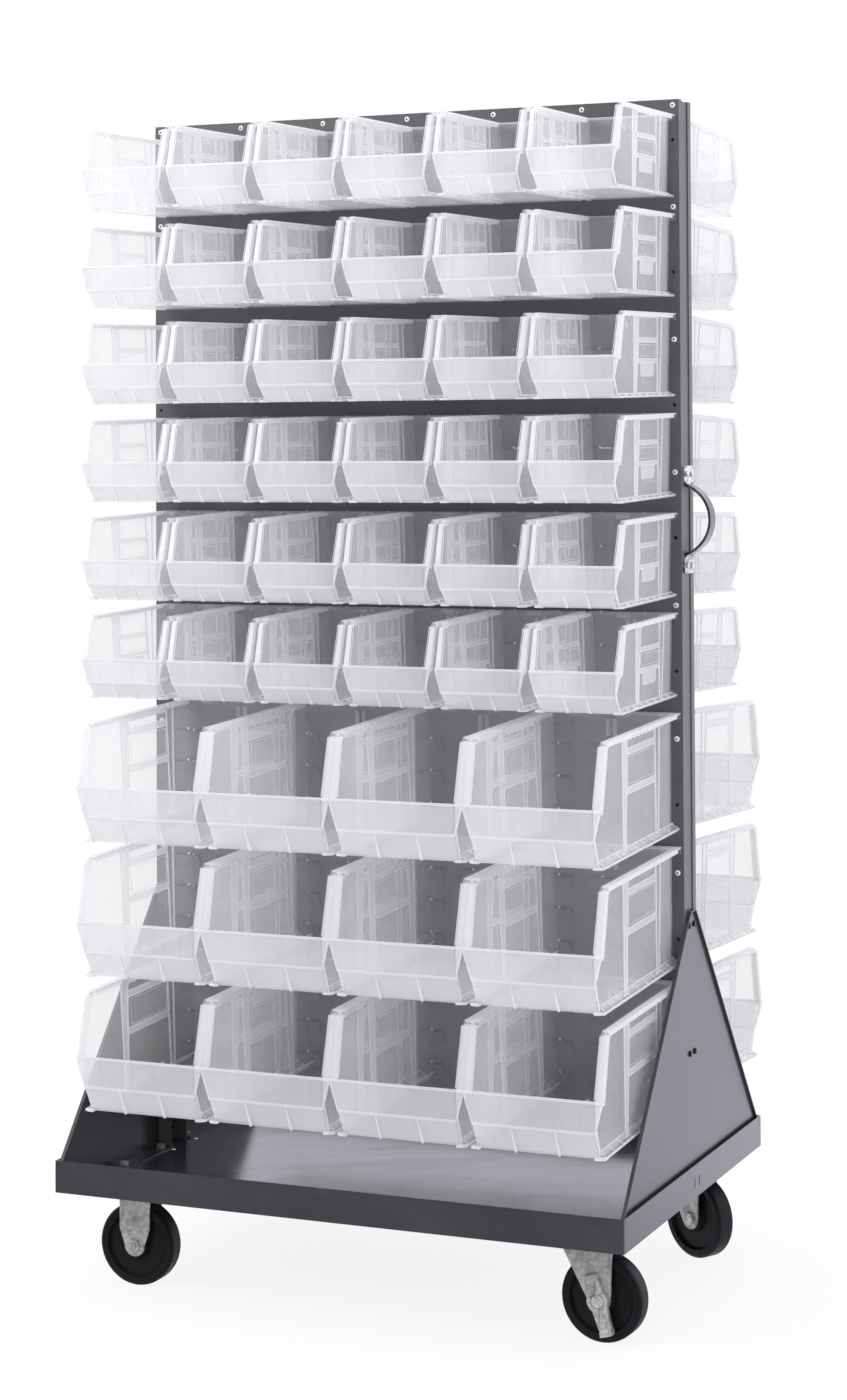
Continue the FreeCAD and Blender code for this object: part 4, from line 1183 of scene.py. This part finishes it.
studio = {
    "floorSize": 14.0,
    "floorColour": (0.90, 0.90, 0.91, 1.0),
    "light": 0.80,
    "fade": (0.4, 1.4, 0.88),  # from and to this far out, and how white near the object
    "shineColour": (0.89, 0.90, 1.0, 1.0),
    "frontShine": 0.45,
    "backShine": 1.50,
    "floorTurn": (-0.6, 0.8),
    "worldTurn": (-0.5, 0.5),
    "lamps": (
        ("key", (-2.6, -3.4, 3.4), (1.8, 1.8), 110.0),
        ("side", (3.8, -1.0, 2.2), (1.6, 2.4), 32.0),
        ("top", (0.0, 0.2, 4.2), (2.4, 2.4), 45.0),
    ),
    "aim": (0.0, 0.0, 0.9),
}


def makeFloor(look):
    # pale floor: white to the eye further out, and to reflections bright behind the object
    half = look["floorSize"] / 2
    sheet = bmesh.new()
    corners = ((-half, -half, 0), (half, -half, 0), (half, half, 0), (-half, half, 0))
    sheet.faces.new([sheet.verts.new(p) for p in corners])
    material, tree, shader = newMaterial("studio_floor", {
        "Base Color": look["floorColour"], "Roughness": 0.9, "Specular IOR Level": 0.1})
    place = addNode(tree, "ShaderNodeTexCoord").outputs["Object"]
    path = addNode(tree, "ShaderNodeLightPath")
    reach = addNode(tree, "ShaderNodeVectorMath", operation="LENGTH")
    tree.links.new(place, reach.inputs[0])
    fade = rangeNode(tree, reach.outputs["Value"], *look["fade"], 1.0)
    glow = addNode(tree, "ShaderNodeEmission")
    seen = addNode(tree, "ShaderNodeMixShader")
    tree.links.new(mathNode(tree, "MULTIPLY", fade, path.outputs["Is Camera Ray"]), seen.inputs[0])
    tree.links.new(shader.outputs[0], seen.inputs[1])
    tree.links.new(glow.outputs[0], seen.inputs[2])
    depth = addNode(tree, "ShaderNodeSeparateXYZ")
    tree.links.new(place, depth.inputs[0])
    shine = addNode(tree, "ShaderNodeEmission")
    shine.inputs["Color"].default_value = look["shineColour"]
    strength = rangeNode(tree, depth.outputs["Y"], *look["floorTurn"],
                         look["frontShine"], look["backShine"])
    tree.links.new(strength, shine.inputs["Strength"])
    mirrored = addNode(tree, "ShaderNodeMixShader")
    tree.links.new(path.outputs["Is Glossy Ray"], mirrored.inputs[0])
    tree.links.new(seen.outputs[0], mirrored.inputs[1])
    tree.links.new(shine.outputs[0], mirrored.inputs[2])
    tree.links.new(mirrored.outputs[0], tree.nodes["Material Output"].inputs["Surface"])
    floor = bpy.data.objects.new("floor", meshFrom("floor", sheet, [material]))
    bpy.context.scene.collection.objects.link(floor)
    floor.location.z = cadLow.z - 0.0005


def makeWorld(look):
    # white to the eye, plain light on the object, and brighter behind in its reflections
    world = bpy.data.worlds.new("studio")
    bpy.context.scene.world = world
    world.use_nodes = True
    tree = world.node_tree
    way = addNode(tree, "ShaderNodeSeparateXYZ")
    tree.links.new(addNode(tree, "ShaderNodeTexCoord").outputs["Generated"], way.inputs[0])
    light = tree.nodes["Background"]
    light.inputs["Color"].default_value = (1, 1, 1, 1)
    light.inputs["Strength"].default_value = look["light"]
    shine = addNode(tree, "ShaderNodeBackground")
    shine.inputs["Color"].default_value = look["shineColour"]
    strength = rangeNode(tree, way.outputs["Y"], *look["worldTurn"],
                         look["frontShine"], look["backShine"])
    tree.links.new(strength, shine.inputs["Strength"])
    white = addNode(tree, "ShaderNodeBackground")
    white.inputs["Color"].default_value = (1, 1, 1, 1)
    path = addNode(tree, "ShaderNodeLightPath")
    mirrored = addNode(tree, "ShaderNodeMixShader")
    tree.links.new(path.outputs["Is Glossy Ray"], mirrored.inputs[0])
    tree.links.new(light.outputs[0], mirrored.inputs[1])
    tree.links.new(shine.outputs[0], mirrored.inputs[2])
    seen = addNode(tree, "ShaderNodeMixShader")
    tree.links.new(path.outputs["Is Camera Ray"], seen.inputs[0])
    tree.links.new(mirrored.outputs[0], seen.inputs[1])
    tree.links.new(white.outputs[0], seen.inputs[2])
    tree.links.new(seen.outputs[0], tree.nodes["World Output"].inputs["Surface"])


def makeLamps(look):
    for name, place, size, power in look["lamps"]:
        lamp = bpy.data.lights.new(name, "AREA")
        lamp.shape = "RECTANGLE"
        lamp.size, lamp.size_y = size
        lamp.energy = power
        holder = bpy.data.objects.new(name, lamp)
        bpy.context.scene.collection.objects.link(holder)
        holder.location = place
        toAim = Vector(look["aim"]) - Vector(place)
        holder.rotation_euler = toAim.to_track_quat("-Z", "Y").to_euler()


makeFloor(studio)
makeWorld(studio)
makeLamps(studio)
scene = bpy.context.scene
scene.view_settings.view_transform = "Standard"
scene.cycles.transparent_max_bounces = 96
scene.cycles.max_bounces = 16
scene.cycles.diffuse_bounces = 8
print("studio made")
